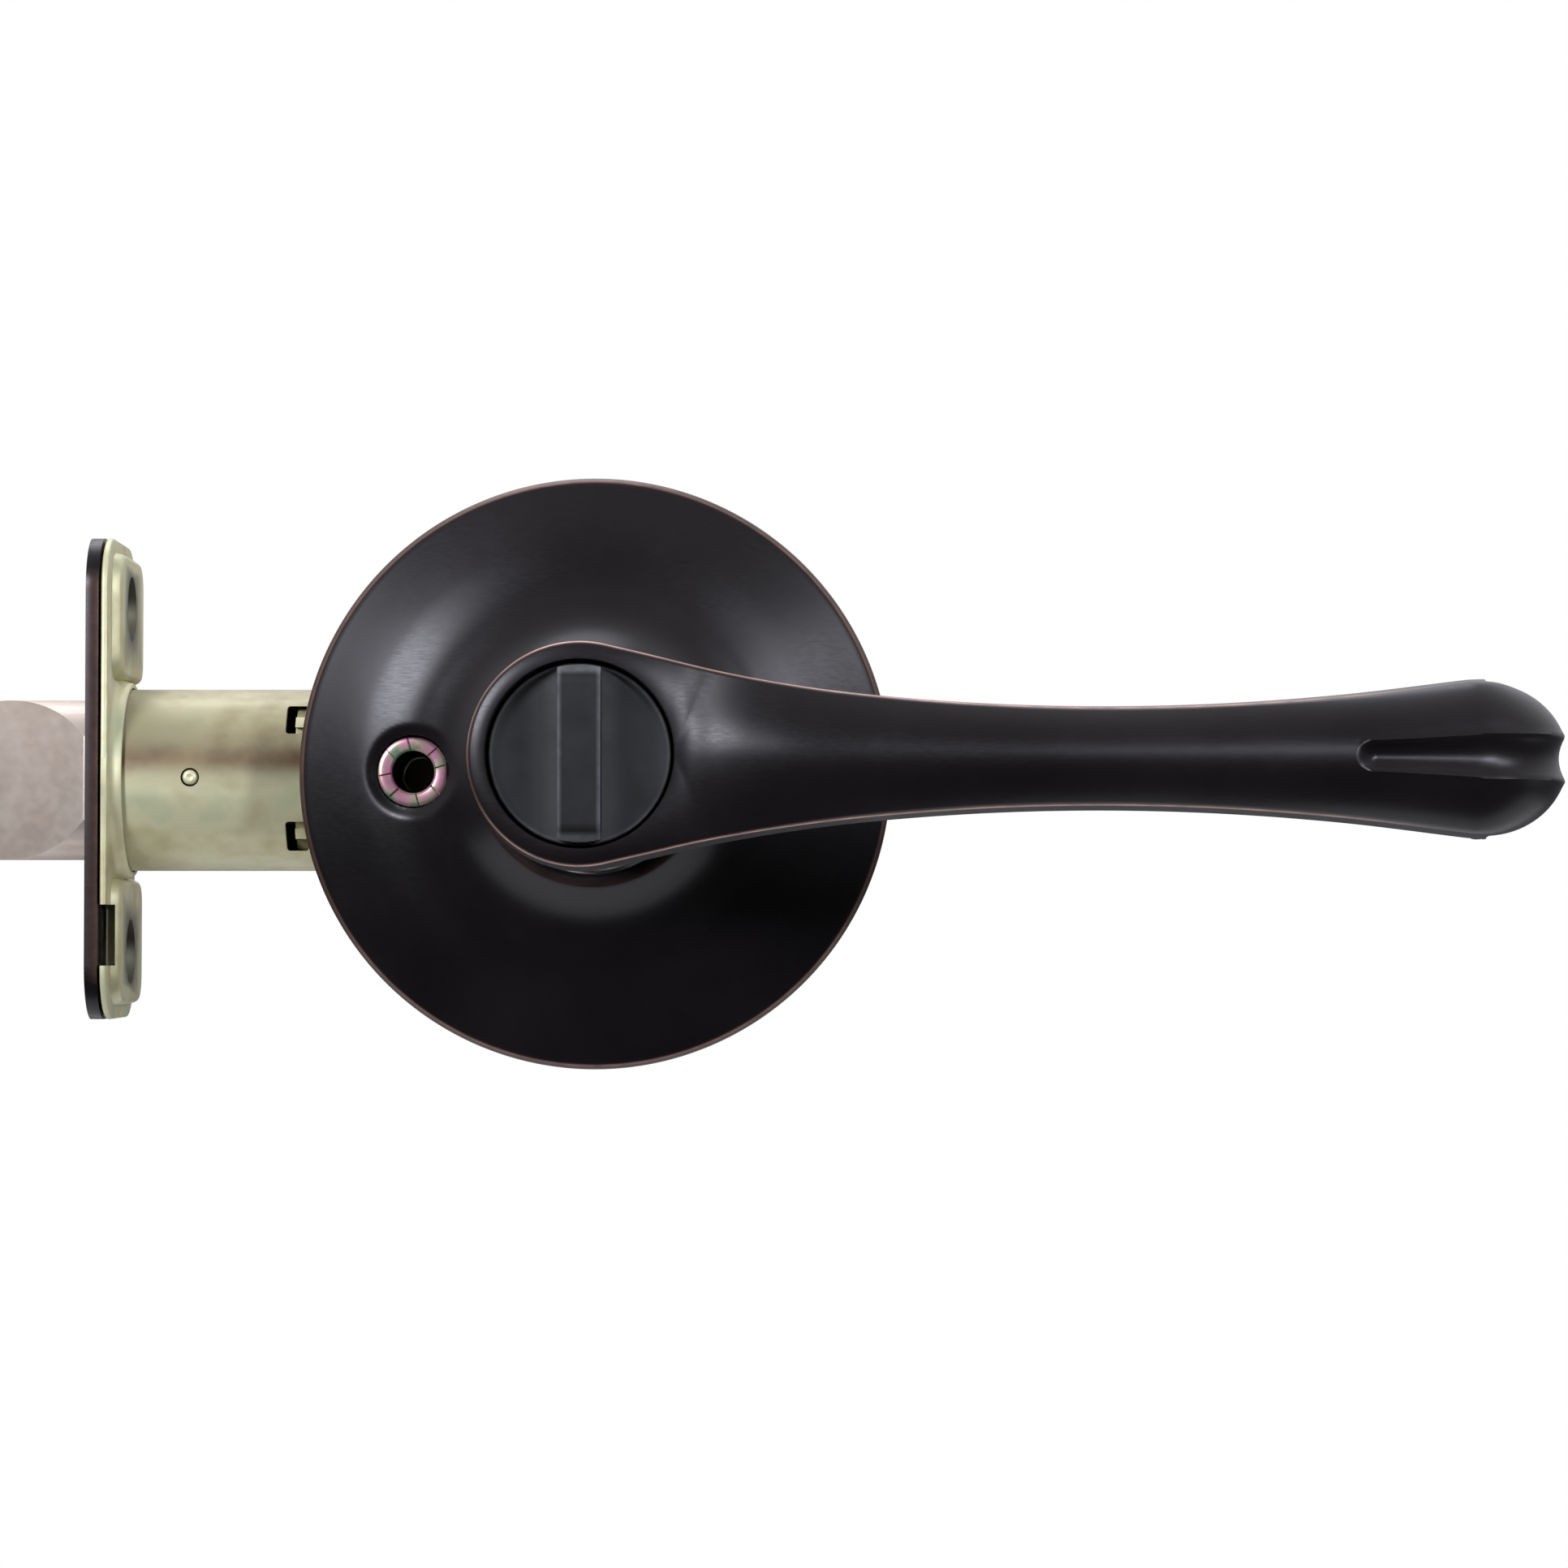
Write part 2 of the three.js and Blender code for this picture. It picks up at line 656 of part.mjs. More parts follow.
function camHub() {
  const barrel = discY(BARREL_RADIUS, -7.4, 7.4, 40);
  const lugs = [1, -1].map((up) => {
    const tip = 0.8;
    const arm = new THREE.BoxGeometry(2 * tip, 3.4, HUB_LUG_RADIUS).translate(0, 0, HUB_LUG_RADIUS / 2);
    const end = new THREE.CylinderGeometry(tip, tip, 3.4, 16).translate(0, 0, HUB_LUG_RADIUS);
    const lean = -degrees(HUB_LUG_ANGLE);
    const placed = [arm, end].map((geometry) => geometry.rotateY(up > 0 ? lean : Math.PI - lean));
    return joined(...placed.map(solidOf));
  });
  const half = SPINDLE_SIZE / 2 + 0.12;
  return cut(joined(barrel, ...lugs), block([-half, half], [-8, 8], [-half, half]));
}

// ---------- materials and assembly ----------

const LOOKS = {
  darkBronze: { color: 0x2b2a2d, roughness: 0.38, metalness: 0.85 },
  turnMetal: { color: 0x38383a, roughness: 0.6, metalness: 0.6 },
  zincChromate: { color: 0xb9b48c, roughness: 0.35, metalness: 0.9 },
  boltMetal: { color: 0xb7ab9b, roughness: 0.4, metalness: 0.9 },
  pinkChromate: { color: 0xc196a0, roughness: 0.35, metalness: 0.9 },
  steel: { color: 0x9a9da1, roughness: 0.4, metalness: 0.95 },
  springSteel: { color: 0x6f7276, roughness: 0.35, metalness: 0.95 },
  nylon: { color: 0xe7e3d6, roughness: 0.6, metalness: 0 },
};

function piece(name, look, solid, position = [0, 0, 0], rotation = [0, 0, 0]) {
  const mesh = new THREE.Mesh(geometryOf(solid), new THREE.MeshStandardMaterial(LOOKS[look]));
  mesh.name = name;
  mesh.position.set(...position);
  mesh.rotation.set(...rotation);
  return mesh;
}

function trimGroup() {
  const trim = new THREE.Group();
  trim.add(
    piece("lever", "darkBronze", leverCasting()),
    piece("turn_button", "turnMetal", turnButton()),
    piece("lock_rod", "steel", lockRod()),
    piece("rod_clip", "springSteel", rodClip()),
    piece("lock_pawl", "steel", lockPawl()),
    piece("spindle", "steel", spindle()),
    piece("rose", "darkBronze", rose()),
    piece("rose_bushing", "nylon", roseBushing()),
    piece("mounting_plate", "zincChromate", mountingPlate()),
    piece("spring_cage", "steel", springCage()),
    piece("spring_driver", "steel", springDriver()),
    piece("return_spring", "springSteel", returnSpring(), [0, -7.9, 0]),
    piece("wave_washer", "springSteel", waveWasher(), [0, -2.15, 0]),
    piece("circlip", "springSteel", circlip()),
    piece("screw_post_left", "pinkChromate", screwPost(), [-POST_OFFSET, 0, 0]),
    piece("screw_post_right", "pinkChromate", screwPost(), [POST_OFFSET, 0, 0]),
  );
  return trim;
}

function latchGroup() {
  const latch = new THREE.Group();
  latch.position.y = LATCH_AXIS;
  latch.add(
    piece("faceplate", "darkBronze", faceplate()),
    piece("backing_plate", "zincChromate", backingPlate()),
    piece("latch_tube", "zincChromate", latchTube()),
    piece("tube_pin", "zincChromate", tubePin(), [PIN_X, 0, 0]),
    piece("latch_bolt", "boltMetal", latchBolt()),
    piece("draw_bar", "zincChromate", drawBar()),
    piece("cross_pin", "steel", crossPin(), [CROSS_PIN_X, 0, 0]),
    piece("bolt_spring", "springSteel", boltSpring(), [BOLT_BORE_END + 0.9, 0, 0], [0, 0, -Math.PI / 2]),
    piece("spring_seat", "zincChromate", springSeat()),
    piece("latch_case_front", "zincChromate", latchCase(-1)),
    piece("latch_case_back", "zincChromate", latchCase(1)),
    piece("case_rivet_upper", "steel", caseRivet(), [CASE_RIVET_X, 0, CASE_RIVET_HEIGHT]),
    piece("case_rivet_lower", "steel", caseRivet(), [CASE_RIVET_X, 0, -CASE_RIVET_HEIGHT]),
    piece("cam_hub", "steel", camHub()),
  );
  return latch;
}

const group = new THREE.Group();
group.add(trimGroup(), latchGroup());

export default group;
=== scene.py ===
import math

import bmesh
import bpy
import numpy as np
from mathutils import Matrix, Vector


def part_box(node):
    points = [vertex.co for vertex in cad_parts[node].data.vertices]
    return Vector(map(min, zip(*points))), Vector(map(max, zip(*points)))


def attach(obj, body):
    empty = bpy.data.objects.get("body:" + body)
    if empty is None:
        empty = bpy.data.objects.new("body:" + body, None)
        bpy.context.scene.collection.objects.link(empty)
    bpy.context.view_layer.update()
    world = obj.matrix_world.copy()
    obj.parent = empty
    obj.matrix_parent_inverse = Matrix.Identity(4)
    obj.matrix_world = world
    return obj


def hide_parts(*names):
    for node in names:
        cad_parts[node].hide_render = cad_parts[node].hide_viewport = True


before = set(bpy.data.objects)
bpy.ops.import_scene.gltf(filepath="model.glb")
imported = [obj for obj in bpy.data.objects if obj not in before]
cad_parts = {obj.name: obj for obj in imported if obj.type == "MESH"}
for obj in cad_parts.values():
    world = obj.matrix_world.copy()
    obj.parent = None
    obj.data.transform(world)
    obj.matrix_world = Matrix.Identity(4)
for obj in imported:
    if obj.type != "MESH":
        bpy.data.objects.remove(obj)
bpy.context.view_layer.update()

MM = 0.001


def box_mm(node):
    """The lowest and highest corner of a CAD node, in millimetres."""
    low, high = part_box(node)
    return np.array(low) / MM, np.array(high) / MM


# ---------- sizes, in millimetres, worked out from the frame ----------

ROSE_HIGH = box_mm("rose")[1]
ROSE_RADIUS = ROSE_HIGH[0]
LEVER_LOW, LEVER_HIGH = box_mm("lever")
HUB_FRONT = LEVER_LOW[1]
HUB_RADIUS = -LEVER_LOW[0]
LEVER_TIP = LEVER_HIGH[0]
SHANK_END = LEVER_HIGH[1]
BUTTON_LOW, BUTTON_HIGH = box_mm("turn_button")
BUTTON_RADIUS = BUTTON_HIGH[0]
POST_LOW, POST_HIGH = box_mm("screw_post_right")
POST_OFFSET = (POST_LOW[0] + POST_HIGH[0]) / 2
TUBE_LOW, TUBE_HIGH = box_mm("latch_tube")
LATCH_AXIS = (TUBE_LOW[1] + TUBE_HIGH[1]) / 2
TUBE_RADIUS = TUBE_HIGH[2]
FACE_LOW, FACE_HIGH = box_mm("faceplate")
BACKING_LOW, BACKING_HIGH = box_mm("backing_plate")
BOLT_LOW, BOLT_HIGH = box_mm("latch_bolt")
PLATE_LOW, PLATE_HIGH = box_mm("mounting_plate")
SPINDLE_LOW, SPINDLE_HIGH = box_mm("spindle")
ROD_LOW, ROD_HIGH = box_mm("lock_rod")

NECK_RADIUS = 9.4
NECK_END = -10.2
SHANK_RADIUS = 8.0
SHANK_FLAT = 7.2
RECESS_RADIUS = BUTTON_RADIUS + 0.28
RECESS_FLOOR = -54.0
NOSE_DEPTH = 9.5
NOSE_RADIUS = 8.7
INNER_BEND = 1.5
TIP_DIP = 0.28
GRIP_END = LEVER_TIP + TIP_DIP - NOSE_DEPTH - INNER_BEND
GRIP_BACK = -45.0
RETURN_END = -35.0
BARREL_RADIUS = 6.2
BOLT_TRAVEL = 11.8
BOLT_FRONT = 8.2
BOLT_BACK = 6.3
FACE_SCREW_HEIGHT = 20.6
BOLT_RADIUS = 9.6
COLLAR_BORE = 11.1
TUBE_PIN_X = -48.2
CROSS_PIN_X = -56.2
RIVET_X = 12.4
RIVET_HEIGHT = 4.6
ON_AXIS = 0.01


# ---------- mesh helpers ----------

def smooth_step(value, low, high):
    t = np.clip((value - low) / (high - low), 0, 1)
    return t * t * (3 - 2 * t)


def mix(a, b, t):
    return a + (b - a) * t


def spline(points, at):
    """A smooth curve through [x, value] points, read at the given x."""
    xs, ys = np.array(points, float).T
    slopes = np.gradient(ys, xs)
    at = np.clip(np.asarray(at, float), xs[0], xs[-1])
    k = np.clip(np.searchsorted(xs, at) - 1, 0, len(xs) - 2)
    width = xs[k + 1] - xs[k]
    t = (at - xs[k]) / width
    start = (2 * t**3 - 3 * t**2 + 1) * ys[k] + (t**3 - 2 * t**2 + t) * width * slopes[k]
    end = (3 * t**2 - 2 * t**3) * ys[k + 1] + (t**3 - t**2) * width * slopes[k + 1]
    return start + end


def rounded(points, radius, steps=3):
    """A closed outline with its corners rounded. A point may carry its own radius as a third number."""
    made = []
    count = len(points)
    for k in range(count):
        corner = np.array(points[k][:2], float)
        size = points[k][2] if len(points[k]) > 2 else radius
        before = np.array(points[k - 1][:2], float) - corner
        after = np.array(points[(k + 1) % count][:2], float) - corner
        room = 0.45 * min(np.linalg.norm(before), np.linalg.norm(after))
        reach = min(size, room)
        if reach < 0.005:
            made.append(tuple(corner))
            continue
        start = corner + before / np.linalg.norm(before) * reach
        end = corner + after / np.linalg.norm(after) * reach
        for t in np.linspace(0, 1, steps + 1):
            made.append(tuple((1 - t) ** 2 * start + 2 * t * (1 - t) * corner + t * t * end))
    return made


def circle(radius, centre=(0, 0), segments=96):
    angles = np.linspace(0, 2 * math.pi, segments, endpoint=False)
    return [(centre[0] + radius * math.cos(a), centre[1] + radius * math.sin(a)) for a in angles]


def span(side, near, far):
    """Both ends, the lower first, of a stretch from near to far on one side of the middle."""
    return sorted((side * near, side * far))


def rectangle(low, high):
    return [(low[0], low[1]), (high[0], low[1]), (high[0], high[1]), (low[0], high[1])]


def cleaned(piece, distance=1e-6):
    """Welds doubled vertices and points the faces out."""
    mesh = bmesh.new()
    mesh.from_mesh(piece.data)
    bmesh.ops.remove_doubles(mesh, verts=mesh.verts, dist=distance)
    bmesh.ops.dissolve_degenerate(mesh, edges=mesh.edges, dist=distance)
    bmesh.ops.recalc_face_normals(mesh, faces=mesh.faces)
    mesh.to_mesh(piece.data)
    mesh.free()
    return piece


def made(name, vertices, faces, attributes=None):
    mesh = bpy.data.meshes.new(name)
    mesh.from_pydata((np.asarray(vertices, float) * MM).tolist(), [], faces)
    for key, values in (attributes or {}).items():
        mesh.attributes.new(key, "FLOAT", "POINT").data.foreach_set("value", values)
    piece = bpy.data.objects.new(name, mesh)
    bpy.context.scene.collection.objects.link(piece)
    return cleaned(piece)


def placed(u, v, w, axis):
    """Outline coordinates u and v with the extrusion w, as x, y, z."""
    return (u, w, v) if axis == "y" else (w, u, v)


def prism(name, shape, low, high, axis="y"):
    """An outline in x and z pushed along Y, or in y and z pushed along X."""
    count = len(shape)
    vertices = [placed(u, v, low, axis) for u, v in shape] + [placed(u, v, high, axis) for u, v in shape]
    sides = [(k, (k + 1) % count, count + (k + 1) % count, count + k) for k in range(count)]
    return made(name, vertices, sides + [tuple(range(count)), tuple(range(count, 2 * count))])


def lathe(name, profile, segments=192, axis="y", centre=(0, 0), closed=True):
    """A profile of [radius, along] turned about an axis along Y or X."""
    rows = len(profile)
    radius, along = np.array(profile, float).T
    angles = np.linspace(0, 2 * math.pi, segments, endpoint=False)
    u = centre[0] + np.outer(np.cos(angles), radius)
    v = centre[1] + np.outer(np.sin(angles), radius)
    w = np.tile(along, (segments, 1))
    vertices = np.stack(placed(u, v, w, axis), axis=-1).reshape(-1, 3)
    faces = []
    for a in range(segments):
        b = (a + 1) % segments
        for k in range(rows if closed else rows - 1):
            n = (k + 1) % rows
            faces.append((a * rows + k, b * rows + k, b * rows + n, a * rows + n))
    return made(name, vertices, faces)


def applied(piece):
    """Turns the piece's modifiers into its mesh."""
    depsgraph = bpy.context.evaluated_depsgraph_get()
    depsgraph.update()
    mesh = bpy.data.meshes.new_from_object(piece.evaluated_get(depsgraph))
    piece.modifiers.clear()
    piece.data = mesh
    return piece


def boolean(piece, others, operation="DIFFERENCE"):
    for other in others:
        modifier = piece.modifiers.new("cut", "BOOLEAN")
        modifier.operation = operation
        modifier.solver = "EXACT"
        modifier.object = other
    applied(piece)
    for other in others:
        bpy.data.objects.remove(other)
    return cleaned(piece)


def cut(piece, *others):
    return boolean(piece, others)


def joined(piece, *others):
    return boolean(piece, others, "UNION")


def common(piece, *others):
    return boolean(piece, others, "INTERSECT")


def bevelled(piece, width, segments=2, angle=35):
    modifier = piece.modifiers.new("bevel", "BEVEL")
    modifier.width = width * MM
    modifier.segments = segments
    modifier.limit_method = "ANGLE"
    modifier.angle_limit = math.radians(angle)
    modifier.use_clamp_overlap = True
    return cleaned(applied(piece))


def swept(name, path, radius, sides=12):
    """A round wire with domed ends along a path of points."""
    path = np.asarray(path, float)
    tangents = np.gradient(path, axis=0)
    tangents /= np.linalg.norm(tangents, axis=1)[:, None]
    across = np.cross(tangents[0], [0.3, 0.5, 0.8])
    rings = []
    for point, tangent in zip(path, tangents):
        across = across - tangent * np.dot(across, tangent)
        across /= np.linalg.norm(across)
        up = np.cross(tangent, across)
        angles = np.linspace(0, 2 * math.pi, sides, endpoint=False)
        rings.append((point, np.outer(np.cos(angles), across) + np.outer(np.sin(angles), up)))

    def dome(end, way, tilt):
        point, ring = rings[end]
        return point + way * tangents[end] * radius * math.sin(tilt) + ring * radius * math.cos(tilt)

    loops = [dome(0, -1, tilt) for tilt in np.radians([80, 50, 20])]
    loops += [point + ring * radius for point, ring in rings]
    loops += [dome(-1, 1, tilt) for tilt in np.radians([20, 50, 80])]
    faces = []
    for row in range(len(loops) - 1):
        for k in range(sides):
            n = (k + 1) % sides
            a, b = row * sides, (row + 1) * sides
            faces.append((a + k, a + n, b + n, b + k))
    last = (len(loops) - 1) * sides
    faces += [tuple(range(sides)), tuple(range(last, last + sides))]
    return made(name, np.concatenate(loops), faces)


def helix(radius, turns, length, start=0.0, steps=60):
    t = np.linspace(0, 1, int(turns * steps))
    angle = start + 2 * math.pi * turns * t
    return np.stack([radius * np.cos(angle), length * t, radius * np.sin(angle)], axis=-1)


def sliced(piece, point, normal):
    """Adds edges where a plane crosses the piece, so that a stored number can change there."""
    mesh = bmesh.new()
    mesh.from_mesh(piece.data)
    parts = [*mesh.verts, *mesh.edges, *mesh.faces]
    bmesh.ops.bisect_plane(mesh, geom=parts, plane_co=Vector(point) * MM, plane_no=normal, dist=1e-7)
    mesh.to_mesh(piece.data)
    mesh.free()


def set_attribute(piece, key, function):
    """Stores a number on each vertex, worked out from its place in millimetres."""
    mesh = piece.data
    places = np.zeros(len(mesh.vertices) * 3)
    mesh.vertices.foreach_get("co", places)
    x, y, z = places.reshape(-1, 3).T / MM
    if key in mesh.attributes:
        mesh.attributes.remove(mesh.attributes[key])
    values = np.asarray(function(x, y, z), np.float32)
    mesh.attributes.new(key, "FLOAT", "POINT").data.foreach_set("value", values)


def finished(piece, body, slot, material, *nodes, angle=32):
    """Smooth shading, material and body of a finished piece; the slot is not used."""
    piece.data.shade_smooth()
    piece.data.set_sharp_from_angle(angle=math.radians(angle))
    piece.data.materials.clear()
    piece.data.materials.append(material)
    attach(piece, body)
    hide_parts(*nodes)
    return piece


# ---------- materials ----------

class Finish:
    """A material being built: a principled shader and the nodes that feed it."""

    def __init__(self, name):
        self.material = bpy.data.materials.new(name)
        self.material.use_nodes = True
        self.nodes = self.material.node_tree.nodes
        self.links = self.material.node_tree.links
        self.shader = self.nodes["Principled BSDF"]
        self.place = self.add("ShaderNodeTexCoord").outputs["Object"]

    def add(self, kind, **settings):
        node = self.nodes.new(kind)
        for key, value in settings.items():
            setattr(node, key, value)
        return node

    def feed(self, socket, source):
        if hasattr(source, "is_linked"):
            self.links.new(source, socket)
        else:
            socket.default_value = source

    def stretched(self, scale):
        node = self.add("ShaderNodeMapping")
        self.links.new(self.place, node.inputs["Vector"])
        node.inputs["Scale"].default_value = scale
        return node.outputs["Vector"]

    def noise(self, scale, detail=3.0, vector=None, roughness=0.5):
        node = self.add("ShaderNodeTexNoise")
        self.links.new(vector or self.place, node.inputs["Vector"])
        node.inputs["Scale"].default_value = scale
        node.inputs["Detail"].default_value = detail
        node.inputs["Roughness"].default_value = roughness
        return node.outputs["Fac"]

    def attribute(self, name):
        return self.add("ShaderNodeAttribute", attribute_name=name).outputs["Fac"]

    def math(self, operation, a, b=0.0, clamp=False):
        node = self.add("ShaderNodeMath", operation=operation, use_clamp=clamp)
        self.feed(node.inputs[0], a)
        self.feed(node.inputs[1], b)
        return node.outputs[0]

    def between(self, value, low, high, to_low=0.0, to_high=1.0):
        node = self.add("ShaderNodeMapRange")
        self.feed(node.inputs["Value"], value)
        node.inputs["From Min"].default_value = low
        node.inputs["From Max"].default_value = high
        node.inputs["To Min"].default_value = to_low
        node.inputs["To Max"].default_value = to_high
        return node.outputs["Result"]

    def ramp(self, value, *stops):
        node = self.add("ShaderNodeValToRGB")
        self.links.new(value, node.inputs["Fac"])
        elements = node.color_ramp.elements
        while len(elements) < len(stops):
            elements.new(0.5)
        for element, (position, colour) in zip(elements, stops):
            element.position = position
            element.color = (*colour, 1)
        return node.outputs["Color"]

    def mixed(self, factor, a, b):
        node = self.add("ShaderNodeMix", data_type="RGBA")
        self.feed(node.inputs["Factor"], factor)
        for socket, source in ((node.inputs["A"], a), (node.inputs["B"], b)):
            self.feed(socket, source if hasattr(source, "is_linked") else (*source, 1))
        return node.outputs["Result"]

    def bump(self, height, distance, strength=1.0, normal=None):
        node = self.add("ShaderNodeBump")
        self.links.new(height, node.inputs["Height"])
        node.inputs["Distance"].default_value = distance * MM
        node.inputs["Strength"].default_value = strength
        if normal:
            self.links.new(normal, node.inputs["Normal"])
        return node.outputs["Normal"]

    def done(self, colour, roughness, metallic, normal=None, **fixed):
        self.feed(self.shader.inputs["Base Color"], colour)
        self.feed(self.shader.inputs["Roughness"], roughness)
        self.feed(self.shader.inputs["Metallic"], metallic)
        if normal:
            self.links.new(normal, self.shader.inputs["Normal"])
        for key, value in fixed.items():
            self.shader.inputs[key.replace("_", " ")].default_value = value
        return self.material


def dark_bronze():
    """Oil-rubbed bronze: a satin brown-black finish, rubbed through to copper along its edges."""
    f = Finish("oil_rubbed_bronze")
    cloud = f.noise(60, 4)
    grain = f.noise(2600, 2)
    black = f.ramp(cloud, (0.35, (0.0070, 0.0055, 0.0064)), (0.65, (0.0105, 0.0084, 0.0095)))
    broken = f.between(f.noise(420, 3), 0.30, 0.62, 0.55, 1.0)
    rubbed = f.math("MULTIPLY", f.attribute("wear"), broken, clamp=True)
    colour = f.mixed(rubbed, black, (0.38, 0.21, 0.165))
    fine = f.noise(900, 3, f.stretched((1.0, 1.0, 7.0)))
    streaks = f.between(fine, 0.4, 0.7, -0.02, 0.03)
    roughness = f.math("ADD", f.between(cloud, 0.3, 0.7, 0.30, 0.36), streaks)
    normal = f.bump(f.noise(180, 2), 0.05, 0.35, f.bump(grain, 0.004, 0.5))
    metallic = f.between(rubbed, 0.0, 0.6, 0.35, 0.95)
    return f.done(colour, roughness, metallic, normal, Specular_IOR_Level=0.35)


def turn_metal():
    """The thumb turn's matte charcoal coating, paler where the edges are polished by use."""
    f = Finish("charcoal_coating")
    mottle = f.noise(300, 4)
    base = f.ramp(mottle, (0.35, (0.0062, 0.0060, 0.0064)), (0.7, (0.0092, 0.0088, 0.0094)))
    broken = f.between(f.noise(700, 2), 0.3, 0.6, 0.6, 1.0)
    rubbed = f.math("MULTIPLY", f.attribute("wear"), broken, clamp=True)
    colour = f.mixed(rubbed, base, (0.10, 0.10, 0.104))
    normal = f.bump(f.noise(2200, 3), 0.008, 0.5)
    return f.done(colour, f.between(mottle, 0.3, 0.7, 0.44, 0.54), 0.15, normal, Specular_IOR_Level=0.3)


def zinc_chromate():
    """Zinc plate with a yellow-green dichromate, clouded with brown at random; a painted dark reflection
    band and painted shade on the top of the latch tube's front; painted shade in holes, in bores and between
    the case halves.
    """
    f = Finish("zinc_dichromate")
    wide = f.noise(55, 3, f.stretched((0.5, 1.0, 1.0)))
    small = f.noise(260, 4)
    tone = f.math("ADD", f.math("MULTIPLY", wide, 0.65), f.math("MULTIPLY", small, 0.35))
    plate = f.ramp(
        tone,
        (0.34, (0.36, 0.28, 0.14)),
        (0.44, (0.46, 0.42, 0.24)),
        (0.54, (0.56, 0.54, 0.34)),
        (0.62, (0.46, 0.49, 0.31)),
        (0.72, (0.48, 0.36, 0.23)),
    )
    # the brown of the painted dark reflection band on the latch tube, also used for the random clouding
    brown = f.ramp(small, (0.35, (0.080, 0.045, 0.018)), (0.65, (0.14, 0.095, 0.040)))
    # brown share: the painted dark reflection band and painted shade on the tube's top, plus random clouding
    edge = f.math("ADD", f.attribute("painted_dark_band"), f.between(wide, 0.3, 0.7, -0.16, 0.16))
    plate_with_painted_band = f.mixed(f.math("MULTIPLY", edge, 0.9, clamp=True), plate, brown)
    # painted shade: near black where holes, bores and the faces between parts lie in shade
    colour = f.mixed(f.attribute("painted_recess_shade"), plate_with_painted_band, (0.012, 0.011, 0.010))
    drawn = f.noise(420, 3, f.stretched((0.15, 1.0, 1.0)))
    roughness = f.between(drawn, 0.3, 0.7, 0.42, 0.56)
    return f.done(colour, roughness, 0.35, f.bump(drawn, 0.012, 0.5))


def bolt_metal():
    """Warm satin nickel with fine grinding marks."""
    f = Finish("satin_nickel")
    ground = f.noise(900, 4, f.stretched((0.12, 1.0, 1.0)))
    cloud = f.noise(120, 3)
    colour = f.ramp(cloud, (0.3, (0.47, 0.385, 0.315)), (0.7, (0.56, 0.48, 0.41)))
    normal = f.bump(ground, 0.01, 0.6, f.bump(f.noise(500, 2), 0.02, 0.3))
    return f.done(colour, f.between(ground, 0.3, 0.7, 0.36, 0.50), 0.6, normal)


def pink_chromate():
    """Iridescent chromate that shifts between pink, straw and green."""
    f = Finish("iridescent_chromate")
    tone = f.noise(420, 2)
    shifted = f.ramp(
        tone,
        (0.36, (0.30, 0.44, 0.30)),
        (0.46, (0.58, 0.48, 0.36)),
        (0.54, (0.66, 0.36, 0.40)),
        (0.66, (0.58, 0.24, 0.38)),
    )
    # painted shade: near black inside the screw post's bore
    colour = f.mixed(f.attribute("painted_recess_shade"), shifted, (0.010, 0.009, 0.009))
    normal = f.bump(f.noise(1500, 3), 0.01, 0.5)
    return f.done(colour, f.between(tone, 0.3, 0.7, 0.24, 0.38), 0.7, normal)


def steel(name, dark, light, scale):
    """Bright steel with drawn or turned tool marks."""
    f = Finish(name)
    marks = f.noise(scale, 3, f.stretched((1.0, 0.2, 1.0)))
    cloud = f.noise(140, 3)
    colour = f.ramp(cloud, (0.3, dark), (0.7, light))
    return f.done(colour, f.between(marks, 0.3, 0.7, 0.26, 0.42), 0.96, f.bump(marks, 0.008, 0.5))


def nylon():
    f = Finish("white_nylon")
    cloud = f.noise(200, 3)
    colour = f.ramp(cloud, (0.3, (0.72, 0.69, 0.62)), (0.7, (0.80, 0.77, 0.70)))
    normal = f.bump(f.noise(1200, 2), 0.01, 0.4)
    return f.done(colour, f.between(cloud, 0.3, 0.7, 0.45, 0.6), 0.0, normal)


def pale_floor():
    f = Finish("pale_floor")
    cloud = f.noise(3, 2)
    return f.done(f.ramp(cloud, (0.3, (0.78, 0.78, 0.78)), (0.7, (0.81, 0.81, 0.81))), 0.7, 0.0)


BRONZE = dark_bronze()
CHARCOAL = turn_metal()
ZINC = zinc_chromate()
NICKEL = bolt_metal()
CHROMATE = pink_chromate()
STEEL = steel("turned_steel", (0.40, 0.40, 0.41), (0.54, 0.54, 0.55), 900)
SPRING = steel("spring_wire", (0.20, 0.20, 0.21), (0.32, 0.32, 0.33), 1300)
NYLON = nylon()


# ---------- lever ----------

HUB_JOIN_X = 3.0
HUB_JOIN_Z = math.sqrt(HUB_RADIUS**2 - HUB_JOIN_X**2)
FAN_END_X = 13.5
DRAFT = 0.35
ARRIS = 0.45
BACK_EDGE = 1.2
NECK_FILLET = 3.2
FLUTE_START = 80.2

GRIP_OUTLINE = [
    (HUB_JOIN_X, HUB_JOIN_Z),
    (7.5, 10.5),
    (12, 9.45),
    (23.9, 7.4),
    (35.7, 6.2),
    (52.4, 5.5),
    (65.9, 5.76),
    (79.4, 6.72),
    (GRIP_END, 8.35),
]
FRONT_LINE = [
    (-12, HUB_FRONT),
    (9, HUB_FRONT),
    (11, HUB_FRONT + 0.18),
    (14, HUB_FRONT + 0.95),
    (20, HUB_FRONT + 1.9),
    (30, HUB_FRONT + 2.5),
    (50, HUB_FRONT + 3.3),
    (GRIP_END, GRIP_BACK - NOSE_DEPTH),
]


def flute_depth(x, z, half_row):
    """How deep the thumb groove is, and the low ridge beside it."""
    start = np.clip((x - FLUTE_START) / 1.6, 0, 1)
    half = half_row * np.sqrt(np.clip(1 - (1 - start) ** 2, 1e-4, 1))
    v = z / half
    depth = 0.95 * smooth_step(x, FLUTE_START, FLUTE_START + 2.2)
    ridge = 0.10 * start * np.exp(-(((np.abs(v) - 1.12) / 0.16) ** 2)) * (np.abs(v) > 1)
    return depth * np.clip(1 - v * v, 0, 1) - ridge


